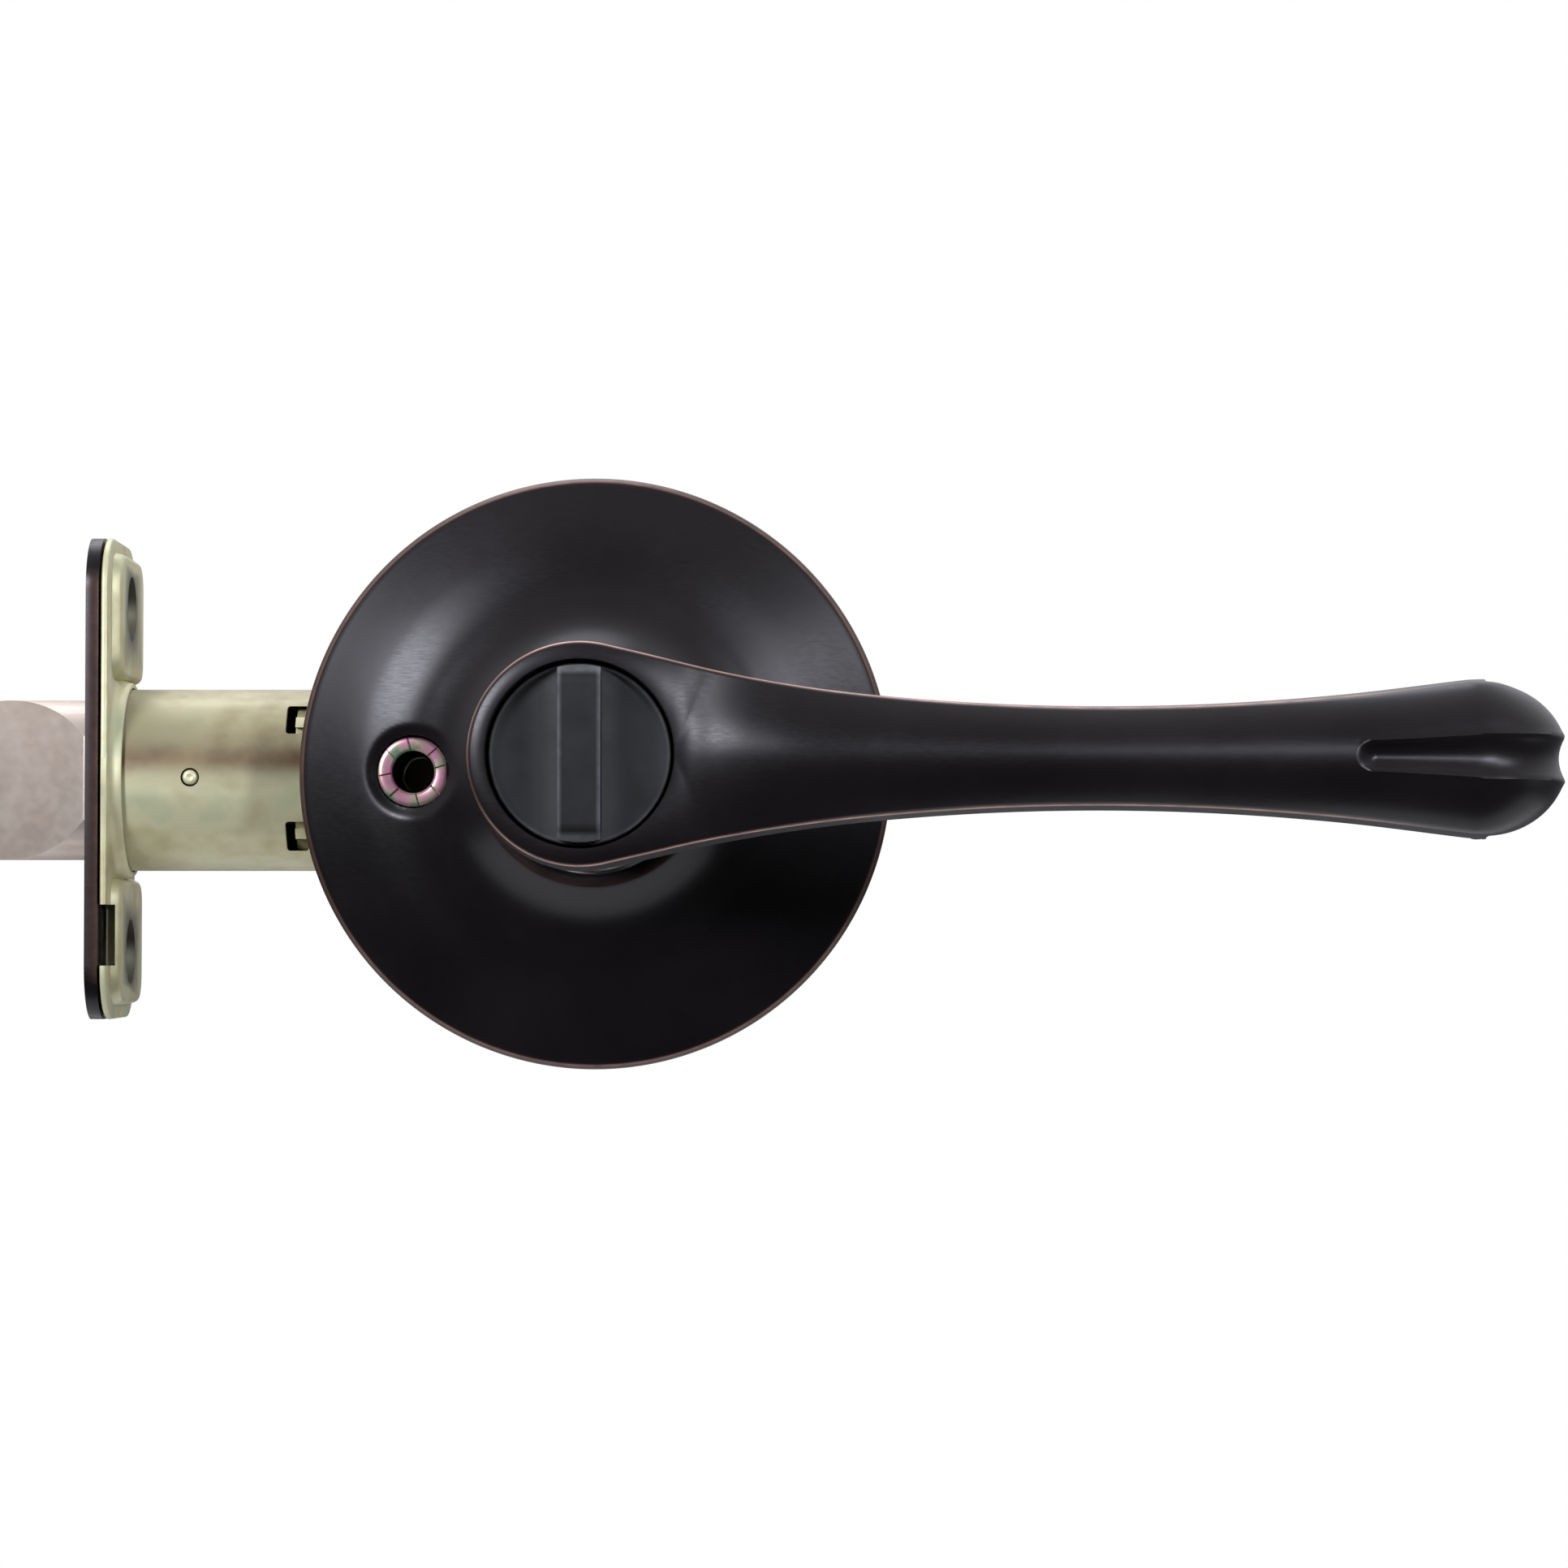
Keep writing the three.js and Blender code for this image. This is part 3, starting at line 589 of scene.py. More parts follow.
# The shares of the half width at which the front face is sampled, the groove's rows first.
GROOVE_ROWS = np.linspace(0, 1, 9)
OUTER_ROWS = np.sin(np.linspace(0, math.pi / 2, 27))[1:]
FRONT_COUNT = len(GROOVE_ROWS) + len(OUTER_ROWS)


def half_section(inner, outer, back_inner, groove_half, front_y, crown, roundness, back_y, round_side):
    """One half section, as plan offsets from inner to outer with the depth in front of the door.

    Returns rows of [plan x, plan z, y, wear], from the middle of the front, over the edge, to the
    middle of the back. round_side is 1 where the side runs straight into the neck."""
    inner, outer, back_inner = (np.array(p, float) for p in (inner, outer, back_inner))
    span = outer - inner
    length = np.linalg.norm(span)
    along = span / length
    edge = length - DRAFT
    first = groove_half / length
    last = (edge - ARRIS) / edge
    shares = np.concatenate([GROOVE_ROWS * first, first + (last - first) * OUTER_ROWS])
    distance = shares * edge

    def drop(share):
        flat = crown * share**2
        nose = NOSE_RADIUS * (1 - np.sqrt(np.clip(1 - share**2, 0, 1)))
        return mix(flat, nose, roundness)

    rows = []
    for share, reach in zip(shares, distance):
        plan = inner + along * reach
        rows.append([plan[0], plan[1], front_y(plan[0]) + drop(share), 0.0])
    turn = np.radians(np.linspace(0, 90, 8))[1:]
    arris = ARRIS * (1 - 0.7 * roundness)
    for angle in turn:
        reach = edge - ARRIS + ARRIS * math.sin(angle)
        plan = inner + along * reach
        y = front_y(plan[0]) + drop(reach / edge) + arris * (1 - math.cos(angle))
        rows.append([plan[0], plan[1], y, math.exp(-(((math.degrees(angle) - 58) / 20) ** 2))])
    side_top = rows[-1][2]
    side_low = mix(back_y - BACK_EDGE, -50.0, round_side)
    side_low = max(side_low, side_top + 0.15)
    for t in np.linspace(0, 1, 9)[1:]:
        plan = inner + along * (edge + DRAFT * t)
        rows.append([plan[0], plan[1], mix(side_top, side_low, t), 0.0])
    corner = np.radians(np.linspace(0, 90, 7))[1:]
    steps = 18
    edge_drop = back_y - side_low if round_side == 0 else BACK_EDGE
    away = outer - back_inner
    away_length = np.linalg.norm(away)
    shares_out = []
    for angle in corner:
        inset = BACK_EDGE * (1 - math.cos(angle))
        shares_out.append((1 - inset / away_length, mix(back_y - edge_drop, back_y, math.sin(angle))))
    start = 1 - BACK_EDGE / away_length
    for t in np.linspace(0, 1, steps + 1)[1:]:
        share = start * (1 - t)
        plan = back_inner + away * share
        near = NECK_RADIUS + NECK_FILLET - math.hypot(*plan)
        lift = 0.0
        if near > 0:
            lift = NECK_FILLET - math.sqrt(max(NECK_FILLET**2 - min(near, NECK_FILLET) ** 2, 0))
        shares_out.append((share, back_y + lift))
    count = len(shares_out)
    for k, (share, y) in enumerate(shares_out):
        t = (k + 1) / count
        taper = 0.5 + 0.5 * math.cos(math.pi * t)
        share = mix(share, taper, round_side)
        y = mix(y, mix(-50.0, -35.0, t), round_side)
        plan = back_inner + away * share
        rows.append([plan[0], plan[1], y, 0.0])
    return np.array(rows)


def lever_sections():
    """All half sections from the back of the hub to the tip of the return, as x, y, z and wear."""
    sections = []
    hub_count = 0
    join = math.atan2(HUB_JOIN_Z, HUB_JOIN_X)
    around_hub = np.linspace(math.pi, join, 80)
    plan = [(HUB_RADIUS * math.cos(a), HUB_RADIUS * math.sin(a), a) for a in around_hub]
    for x in np.linspace(HUB_JOIN_X, FAN_END_X, 34)[1:]:
        t = (x - HUB_JOIN_X) / (FAN_END_X - HUB_JOIN_X)
        plan.append((x, float(spline(GRIP_OUTLINE, x)), join * (1 - t)))
    front = lambda x: float(spline(FRONT_LINE, x))
    for x, z, angle in plan:
        direction = np.array([math.cos(angle), math.sin(angle)])
        round_side = 1 - float(smooth_step(math.degrees(math.pi - angle), 60, 150))
        rows = half_section(
            direction * RECESS_RADIUS,
            (x, z),
            direction * NECK_RADIUS,
            0.6,
            front,
            mix(0.45, 2.6, float(smooth_step(x, 4, 26))),
            0.0,
            -46.8,
            round_side,
        )
        sections.append(rows[:, [0, 2, 1, 3]])
        hub_count += 1
    stations = np.concatenate([
        np.arange(FAN_END_X + 0.45, FLUTE_START - 1, 0.5),
        np.arange(FLUTE_START - 0.8, FLUTE_START + 3, 0.16),
        np.linspace(FLUTE_START + 3.1, GRIP_END, 24),
    ])
    for x in stations:
        z = float(spline(GRIP_OUTLINE, x))
        settle = 1 - float(smooth_step(x, FAN_END_X, 52))
        groove_half = mix(1.35, 2.3, float(smooth_step(x, FLUTE_START - 2, LEVER_TIP)))
        groove_half = mix(0.6, groove_half, float(smooth_step(x, FAN_END_X, 60)))
        crown = mix(mix(0.45, 2.6, float(smooth_step(x, 4, 26))), 2.9, float(smooth_step(x, 40, 90)))
        rows = half_section(
            (x - (FAN_END_X - RECESS_RADIUS) * settle, 0),
            (x, z),
            (x - (FAN_END_X - NECK_RADIUS) * settle, 0),
            groove_half,
            front,
            crown,
            0.35 * float(smooth_step(x, 66, GRIP_END)),
            mix(-46.8, GRIP_BACK, x / GRIP_END),
            0.0,
        )
        dips = flute_depth(rows[:, 0], rows[:, 1], groove_half)
        rows[:FRONT_COUNT, 2] += dips[:FRONT_COUNT]
        rows[:, 3] *= 1 - float(smooth_step(x, 78, 93))
        sections.append(rows[:, [0, 2, 1, 3]])
    centre = np.array([GRIP_END, GRIP_BACK + INNER_BEND])
    for turn in np.linspace(0, 1, 31)[1:]:
        angle = math.radians(90) * turn
        groove_half = 2.1 + 0.2 * turn
        rows = half_section(
            (0, 0),
            (0, mix(8.35, NOSE_RADIUS, math.sin(angle))),
            (0, 0),
            groove_half,
            lambda x: -NOSE_DEPTH,
            2.9,
            mix(0.35, 1.0, float(smooth_step(turn, 0, 0.8))),
            0.0,
            0.0,
        )
        z = rows[:, 1]
        rise = -rows[:, 2]
        dips = flute_depth(np.full(len(z), LEVER_TIP), z, groove_half)
        rise[:FRONT_COUNT] -= dips[:FRONT_COUNT]
        x = centre[0] + (INNER_BEND + rise) * math.sin(angle)
        y = centre[1] - (INNER_BEND + rise) * math.cos(angle)
        sections.append(np.stack([x, y, z * mix(1, 0.965, turn), np.zeros(len(z))], axis=-1))
    bent = sections[-1]
    middle = centre[0] + INNER_BEND + NOSE_DEPTH / 2
    for y, size in [(-41.5, 1), (-39, 0.995), (-37, 0.985), (-36, 0.975), (-35.5, 0.955), (-35.15, 0.92),
                    (RETURN_END, 0.86), (RETURN_END, 0.7), (RETURN_END, 0.0)]:
        ring = bent.copy()
        ring[:, 0] = middle + (bent[:, 0] - middle) * size
        ring[:, 1] = y
        ring[:, 2] = bent[:, 2] * size
        sections.append(ring)
    return sections, hub_count


def lever_shank():
    start, end = -10.6, SHANK_END
    profile = [(ON_AXIS, start), (SHANK_RADIUS, start), (SHANK_RADIUS, end, 0.3), (ON_AXIS, end)]
    shank = lathe("shank", rounded(profile, 0.0), 96)
    flats = [prism("flat", rectangle((-20, s * SHANK_FLAT), (20, s * 12)), -8.5, end + 1) for s in (-1, 1)]
    groove = lathe("groove", [(7, 0.4), (9, 0.4), (9, 1.6), (7, 1.6)], 96)
    slot = prism("slot", rectangle((-4.7, -7), (3.7, 20)), -10, -8.6)
    socket = prism("socket", rounded(rectangle((-4, -4), (4, 4)), 0.3), -7.8, end + 1)
    return cut(shank, *flats, groove, slot, socket)


def lever_casting():
    sections, hub_count = lever_sections()
    rows = len(sections[0])
    vertices, wear, faces = [], [], []

    def add(x, y, z, value):
        vertices.append((x, y, z))
        wear.append(value)
        return len(vertices) - 1

    for side in (1, -1):
        grid = [[add(x, y, side * z, w) for x, y, z, w in section] for section in sections]
        for index in range(hub_count):
            front = sections[index][0]
            back = sections[index][-1]
            wide = (front[0], front[2] * side)
            lead = [add(0, RECESS_FLOOR, 0, 0), add(wide[0], RECESS_FLOOR, wide[1], 0)]
            lead += [add(wide[0], y, wide[1], 0) for y in (-56, -58, front[1] + 0.25)]
            tail = [add(back[0], y, back[2] * side, 0) for y in np.linspace(back[1], NECK_END, 12)[1:]]
            tail.append(add(0, NECK_END, 0, 0))
            rim = grid[index][0]
            x, y, z = vertices[rim]
            scale = (RECESS_RADIUS + 0.12) / RECESS_RADIUS
            vertices[rim] = (x * scale, y, z * scale)
            grid[index] = lead + grid[index] + tail
        for index in range(len(grid) - 1):
            a, b = grid[index], grid[index + 1]
            if len(a) != len(b):
                a = a[5:5 + rows]
            for k in range(len(a) - 1):
                faces.append((a[k], b[k], b[k + 1], a[k + 1]))
    piece = made("lever_casting", vertices, faces, {"wear": wear})
    joined(piece, lever_shank())
    cut(piece, prism("bore", circle(2.2, segments=48), -58, 0))
    return finished(piece, "lever", "dark_bronze", BRONZE, "lever", angle=40)


# ---------- thumb turn and lock ----------

def thumb_turn():
    """A disc with a scoop on each side of a straight bar, laid out on a polar grid."""
    scoop_radius, scoop_x, scoop_floor, face = 14.0, 6.2, -57.1, -57.9
    edge_radius, rings, segments = 0.25, 60, 256
    turn = np.radians(np.linspace(0, 90, 7))
    flat = BUTTON_RADIUS - edge_radius
    radii = np.concatenate([np.linspace(0.0, flat, rings), flat + edge_radius * np.sin(turn)[1:]])
    edge = np.concatenate([np.zeros(rings), edge_radius * (1 - np.cos(turn))[1:]])
    angles = np.linspace(0, 2 * math.pi, segments, endpoint=False)
    x = np.outer(np.cos(angles), radii)
    z = np.outer(np.sin(angles), radii)
    scoop = scoop_floor - scoop_radius + np.sqrt(scoop_radius**2 - (np.abs(x) - scoop_x) ** 2)
    y = np.maximum(scoop, face) + edge
    x, z = (np.concatenate([grid, grid[:, -1:], 0 * grid[:, -1:]], axis=1) for grid in (x, z))
    y = np.concatenate([y, np.full((segments, 2), BUTTON_HIGH[1])], axis=1)
    rows = x.shape[1]
    faces = []
    for k in range(segments):
        a, b = k * rows, (k + 1) % segments * rows
        faces += [(a + row, b + row, b + row + 1, a + row + 1) for row in range(rows - 1)]
    piece = made("thumb_turn", np.stack([x, y, z], axis=-1).reshape(-1, 3), faces)

    half_width, front = 2.25, BUTTON_LOW[1]
    half = [(-55.2, 9.4), (-59.5, 9.4, 0.4), (front, 7.9, 0.8)]
    outline = half + [(y, -z, *size) for y, z, *size in reversed(half)]
    bar = prism("bar", rounded(outline, 0, 5), -half_width, half_width, axis="x")
    common(bar, prism("round", circle(BUTTON_RADIUS - 0.3, segments=160), -64, -50))
    bevelled(bar, 0.38, 3, 40)
    joined(piece, bar)
    cut(piece, prism("bore", circle(1.6, segments=40), -57, -54))
    for side in (-1, 1):
        sliced(piece, (side * (half_width - 0.55), 0, 0), (1, 0, 0))
    bar_top = -58.6

    def wear(x, y, z):
        long_edge = np.exp(-(((np.abs(x) - half_width + 0.2) / 0.17) ** 2)) * (y < bar_top)
        end = smooth_step(np.abs(z), 8.0, 8.5) * (np.abs(x) < half_width + 0.1) * (y < bar_top)
        rim = 0.5 * np.exp(-(((np.hypot(x, z) - BUTTON_RADIUS + 0.2) / 0.16) ** 2))
        return np.clip(0.8 * long_edge + 0.55 * end + rim, 0, 1)

    set_attribute(piece, "wear", wear)
    return finished(piece, "thumb_turn", "turn_metal", CHARCOAL, "turn_button")


def lock_parts():
    """The thumb turn's rod with its clip, the locking pawl, and the square spindle."""
    low, high, radius = ROD_LOW[1], ROD_HIGH[1], 1.5
    profile = [(ON_AXIS, low), (radius, low, 0.2), (radius, high, 0.5), (ON_AXIS, high)]
    rod = lathe("lock_rod_turned", rounded(profile, 0), 48)
    joined(rod, prism("cam", circle(2, (-1, 0), 48), -9.7, -8.9))
    cut(rod, *[prism("flat", rectangle((s * 0.8, -3), (s * 3, 3)), -4, high + 1) for s in (1, -1)])
    finished(bevelled(rod, 0.1, 2), "thumb_turn", "steel", STEEL, "lock_rod")
    clip = lathe("clip_ring", rounded(rectangle((1.6, -7.5), (3.4, -7)), 0.12), 64)
    cut(clip, prism("mouth", rectangle((0, -0.5), (5, 0.5)), -8, -6))
    finished(clip, "thumb_turn", "spring_steel", SPRING, "rod_clip")
    pawl = prism("pawl_plate", circle(8.2, segments=128), -9.75, -8.85)
    common(pawl, prism("body", rectangle((-4.4, -6), (3.4, 8.2)), -11, -8))
    cut(pawl, prism("window", rounded(rectangle((-3.4, -3.3), (2.4, 3.3)), 0.4), -11, -8))
    finished(bevelled(pawl, 0.12, 2), "lever", "steel", STEEL, "lock_pawl")
    half, end = SPINDLE_HIGH[:2]
    square = rounded(rectangle((-half, -half), (half, half)), 0.7, 4)
    bar = prism("spindle_bar", square, SPINDLE_LOW[1], end)
    cut(bar, prism("bore", circle(2.1, segments=48), -8, end + 1))
    finished(bevelled(bar, 0.25, 2), "lever", "steel", STEEL, "spindle")


# ---------- rose, plate and return spring ----------

ROSE_CURVE = [(13.3, -14.5), (15.8, -11.4), (20.5, -8.3), (27, -5.9), (33.2, -3.25)]


def rose_cover():
    outer = [(ROSE_RADIUS, -0.3), (ROSE_RADIUS, -1.2), (ROSE_RADIUS, -2.1), (ROSE_RADIUS - 0.06, -2.45)]
    outer += [(ROSE_RADIUS - 0.2, -2.75), (ROSE_RADIUS - 0.45, -3.02), (ROSE_RADIUS - 0.65, -3.16)]
    radii = np.linspace(33.2, 13.3, 56)
    outer += [(r, float(spline(ROSE_CURVE, r))) for r in radii]
    lip = [(12.95, -14.75), (12.6, -14.8), (12.2, -14.8), (11.9, -14.68), (11.7, -14.4), (11.7, -13.4)]
    inner = [(12.8, -12.8), (14.8, -10.6), (20, -7.3), (26.6, -4.9), (32.4, -2.5), (33, -0.3)]
    piece = lathe("rose_cover", outer + lip + inner, 360)
    sunk = 0.6

    mesh = piece.data
    for vertex in mesh.vertices:
        x, y, z = vertex.co / MM
        radius = math.hypot(x, z)
        if not 13.5 < radius < 33:
            continue
        away = math.hypot(abs(x) - POST_OFFSET, z)
        front = y < float(spline(ROSE_CURVE, radius)) + 0.3
        if front and away < 7:
            vertex.co.y += sunk * MM * (1 - float(smooth_step(away, 3.9, 5.6)))
    for side in (-1, 1):
        cut(piece, prism("hole", circle(4.2, (side * POST_OFFSET, 0), 96), -12, -2))

    def wear(x, y, z):
        radius = np.hypot(x, z)
        rim = np.exp(-(((radius - ROSE_RADIUS + 0.38) / 0.12) ** 2)) * (y < -2)
        collar = 0.12 * np.exp(-(((radius - 12.9) / 0.3) ** 2)) * (y < -14.2)
        return np.clip(0.8 * rim + collar, 0, 1)

    set_attribute(piece, "wear", wear)
    return finished(piece, "mount", "dark_bronze", BRONZE, "rose", angle=40)


def mount_parts():
    bushing = [(9.6, -14.2), (11.4, -14.2), (11.4, -12.9), (12.1, -12.9), (12.1, -11.6), (9.6, -11.6)]
    finished(lathe("bushing", rounded(bushing, 0.2), 128), "mount", "nylon", NYLON, "rose_bushing")

    plate = prism("plate", circle(PLATE_HIGH[0], segments=192), PLATE_LOW[1], PLATE_HIGH[1])
    cutters = [prism("middle", circle(25, segments=192), -0.3, 2)]
    cutters.append(prism("bearing", circle(8.3, segments=96), -4, 2))
    cutters += [prism("hole", circle(3.2, (s * POST_OFFSET, 0), 64), -4, 2) for s in (-1, 1)]
    for degrees in (45, 135, 225, 315):
        angle = math.radians(degrees)
        centre = (PLATE_HIGH[0] * math.cos(angle), PLATE_HIGH[0] * math.sin(angle))
        cutters.append(prism("notch", circle(2, centre, 48), -4, 2))
    cut(plate, *cutters)
    finished(bevelled(plate, 0.2, 2), "mount", "zinc_chromate", ZINC, "mounting_plate")

    back = PLATE_LOW[1] - 0.3
    outside = [(8.4, -9.8), (14.6, -9.8, 0.7), (14.6, back - 1, 0.3), (16.4, back - 1), (16.4, back)]
    inside = [(13.7, back), (13.7, -8.8, 0.4), (8.4, -8.8)]
    cup = lathe("cage", rounded(outside + inside, 0.12), 144)
    sweep = np.radians(np.linspace(2, 126, 33))
    notch = prism("notch", [(0, 0), *[(9.9 * math.cos(a), 9.9 * math.sin(a)) for a in sweep]], -11, -7.8)
    cut(cup, notch, prism("window", rectangle((0.8, -18), (4.4, -12)), -8.8, -7))
    finished(cup, "mount", "steel", STEEL, "spring_cage")

    sleeve = prism("driver", circle(10.4, segments=96), -8.1, -2.7)
    joined(sleeve, prism("arm", rectangle((-1.5, -12.9), (1.5, -9)), -3.6, -2.7))
    bore = prism("bore", circle(8.15, segments=96), -9, -2)
    common(bore, prism("flat", rectangle((-10, -7.35), (10, 7.35)), -10, -1))
    cut(sleeve, bore)
    finished(bevelled(sleeve, 0.15, 2), "lever", "steel", STEEL, "spring_driver")

    coil = helix(12, 2.93, 4.7, math.radians(-75)) + np.array([0, -7.9, 0])
    leg = coil[0] + np.array([-1, 0, -2.4])
    bend = [leg, mix(leg, coil[0], 0.6), *coil[2:]]
    finished(swept("torsion_spring", bend, 0.55), "mount", "spring_steel", SPRING, "return_spring")

    count = 144
    angles = np.linspace(0, 2 * math.pi, count, endpoint=False)
    rings = []
    for radius, rise in ((8.5, -0.15), (10.2, -0.15), (10.2, 0.15), (8.5, 0.15)):
        rings.append(np.stack([radius * np.cos(angles), -2.15 + 0.15 * np.sin(3 * angles) + rise,
                               radius * np.sin(angles)], axis=-1))
    vertices = np.stack(rings, axis=1).reshape(-1, 3)
    faces = [
        (4 * a + k, 4 * ((a + 1) % count) + k, 4 * ((a + 1) % count) + (k + 1) % 4, 4 * a + (k + 1) % 4)
        for a in range(count)
        for k in range(4)
    ]
    finished(made("wavy_washer", vertices, faces), "lever", "spring_steel", SPRING, "wave_washer")

    profile = rounded(rectangle((7.15, 0.55), (9.3, 1.45)), 0.12)
    ring = lathe("retaining_ring", profile, 96)
    cut(ring, prism("mouth", [(0, 0), (14, -5), (14, 5)], 0, 2))
    finished(ring, "lever", "spring_steel", SPRING, "circlip")


def screw_posts():
    """Threaded posts whose swaged ends show as split rings in the rose's holes."""
    thread = []
    for k in range(14):
        y = -4.9 + k * 0.95
        thread += [(2.12, y), (2.4, y + 0.47)]
    profile = [(2.12, 8.7), (2.4, 9), (3, 9), (3, -4.6), (3.15, -5.0), (4, -5.6), (4.05, -5.9)]
    profile += [(4.03, -6.15), (3.95, -6.36), (3.75, -6.48), (3.5, -6.5), (2.95, -6.5), (2.65, -6.44)]
    profile += [(2.45, -6.25), (2.35, -5.6)]
    splits = [14, 52, 101, 147, 188, 233, 281, 326]
    for side, node in ((-1, "screw_post_left"), (1, "screw_post_right")):
        centre = (side * POST_OFFSET, 0)
        post = lathe("post_" + node[11:], profile + thread, 96, centre=centre)
        cutters = []
        for k, degrees in enumerate(splits):
            angle = math.radians(degrees + 4 * side)
            half = 0.09 + 0.03 * (k % 3)
            out = np.array([math.cos(angle), math.sin(angle)])
            across = np.array([-out[1], out[0]])
            skew = 0.25 * (-1) ** k * across
            shape = [out * 2.5 - across * half, out * 4.4 - across * half * 0.6 + skew,
                     out * 4.4 + across * half * 0.6 + skew, out * 2.5 + across * half]
            shape = [tuple(p + np.array(centre)) for p in shape]
            cutters.append(prism("split", shape, -7, -5.95 - 0.1 * (k % 2)))
        cutters.append(prism("flat", rectangle((centre[0] + 3.75, -5), (centre[0] + 6, 5)), -7, -5.2))
        cut(post, *cutters)

        # painted shade inside the post's bore
        def bore(x, y, z, middle=centre[0]):
            return (np.hypot(x - middle, z) < 2.43) * smooth_step(y, -6.3, -5.9)

        set_attribute(post, "painted_recess_shade", bore)
        finished(post, "mount", "pink_chromate", CHROMATE, node)


# ---------- latch ----------

def about_latch(radius, segments=96, y=0.0, z=0.0):
    return circle(radius, (LATCH_AXIS + y, z), segments)


def tapered_d(extra, low, high):
    """The bolt's section, a circle with a shallow and a deep flat, pushed along X."""
    depth = (LATCH_AXIS - BOLT_FRONT - extra, LATCH_AXIS + BOLT_BACK + extra)
    piece = prism("section", about_latch(BOLT_RADIUS + extra, 160), low, high, axis="x")
    flats = prism("flats", rectangle((depth[0], -20), (depth[1], 20)), low - 1, high + 1, axis="x")
    return common(piece, flats)


def face_shape():
    half_width = (FACE_HIGH[1] - FACE_LOW[1]) / 2
    half_height = FACE_HIGH[2]
    shape = []
    corner = 6.35
    for turn, (a, b) in enumerate([(1, 1), (-1, 1), (-1, -1), (1, -1)]):
        for angle in np.linspace(0, math.pi / 2, 13) + turn * math.pi / 2:
            shape.append((LATCH_AXIS + a * (half_width - corner) + corner * math.cos(angle),
                          b * (half_height - corner) + corner * math.sin(angle)))
    return shape


def face_parts():
    plate = prism("face_plate", face_shape(), FACE_LOW[0], FACE_HIGH[0], axis="x")
    cutters = [tapered_d(0.25, FACE_LOW[0] - 1, FACE_HIGH[0] + 1)]
    outside, inside = FACE_LOW[0], FACE_HIGH[0]
    for side in (-1, 1):
        sink = [(ON_AXIS, outside - 1), (4.2, outside - 1), (4.0, outside), (2.3, inside - 0.2)]
        hole = [*sink, (2.3, inside + 1), (ON_AXIS, inside + 1)]
        cutters.append(lathe("screw", hole, 64, "x", (LATCH_AXIS, side * FACE_SCREW_HEIGHT)))
    cut(plate, *cutters)
    bevelled(plate, 0.22, 2)

    def wear(x, y, z):
        inside_y = 12.7 - np.abs(y - LATCH_AXIS)
        inside_z = FACE_HIGH[2] - np.abs(z)
        edges = 0.25 * np.exp(-((np.minimum(inside_y, inside_z) / 0.25) ** 2)) * (x > FACE_HIGH[0] - 0.2)
        from_screw = np.hypot(y - LATCH_AXIS, np.abs(z) - FACE_SCREW_HEIGHT)
        return np.clip(edges + 0.9 * (from_screw < 2.7), 0, 1)

    set_attribute(plate, "wear", wear)
    finished(plate, "mount", "dark_bronze", BRONZE, "faceplate")

    low, high = BACKING_LOW[0], BACKING_LOW[0] + 0.8
    sheet = prism("stamped_backing", face_shape(), low, high, axis="x")
    bevelled(sheet, 0.3, 3)
    rim = BACKING_HIGH[0]
    collar = [(COLLAR_BORE, low + 0.1), (12.9, low + 0.1), (12.9, high - 0.05), (12.4, high + 0.12)]
    collar += [(12, high + 0.4), (11.75, high + 0.9), (11.65, rim - 0.2), (11.5, rim), (COLLAR_BORE, rim)]
    parts = [lathe("collar", collar, 144, "x", (LATCH_AXIS, 0))]
    pad_rise = 1.2
    for side in (-1, 1):
        outline = [(-9, 11.6, 3), (11.5, 11.6, 3), (11.5, 27.1, 4), (-9, 27.1, 4)]
        shape = rounded([(LATCH_AXIS + y, side * z, size) for y, z, size in outline], 0, 8)
        pad = prism("pad", shape, high - 0.4, high + pad_rise, axis="x")
        for vertex in pad.data.vertices:
            if vertex.co.x > high * MM:
                centre = Vector((vertex.co.x, LATCH_AXIS * MM, side * FACE_SCREW_HEIGHT * MM))
                vertex.co = centre + (vertex.co - centre) * 0.93
        parts.append(bevelled(pad, 0.45, 4, 25))
    joined(sheet, *parts)
    cutters = [prism("bore", about_latch(COLLAR_BORE, 144), low - 1, high + 6, axis="x")]
    for side in (-1, 1):
        hole = about_latch(3.9, 64, z=side * FACE_SCREW_HEIGHT)
        cutters.append(prism("screw", hole, low - 1, high + 3, axis="x"))
    notch = rounded(rectangle((FACE_LOW[1] - 1, -22.2), (LATCH_AXIS - 6.5, -15)), 0.5)
    cutters.append(prism("notch", notch, low - 1, high + 0.5, axis="x"))
    cut(sheet, *cutters)

    # painted shade on the walls of the screw holes
    def painted_recess_shade(x, y, z):
        from_screw = np.hypot(y - LATCH_AXIS, np.abs(z) - FACE_SCREW_HEIGHT)
        return 0.85 * (from_screw < 3.95)

    set_attribute(sheet, "painted_recess_shade", painted_recess_shade)
    finished(sheet, "mount", "zinc_chromate", ZINC, "backing_plate", angle=45)


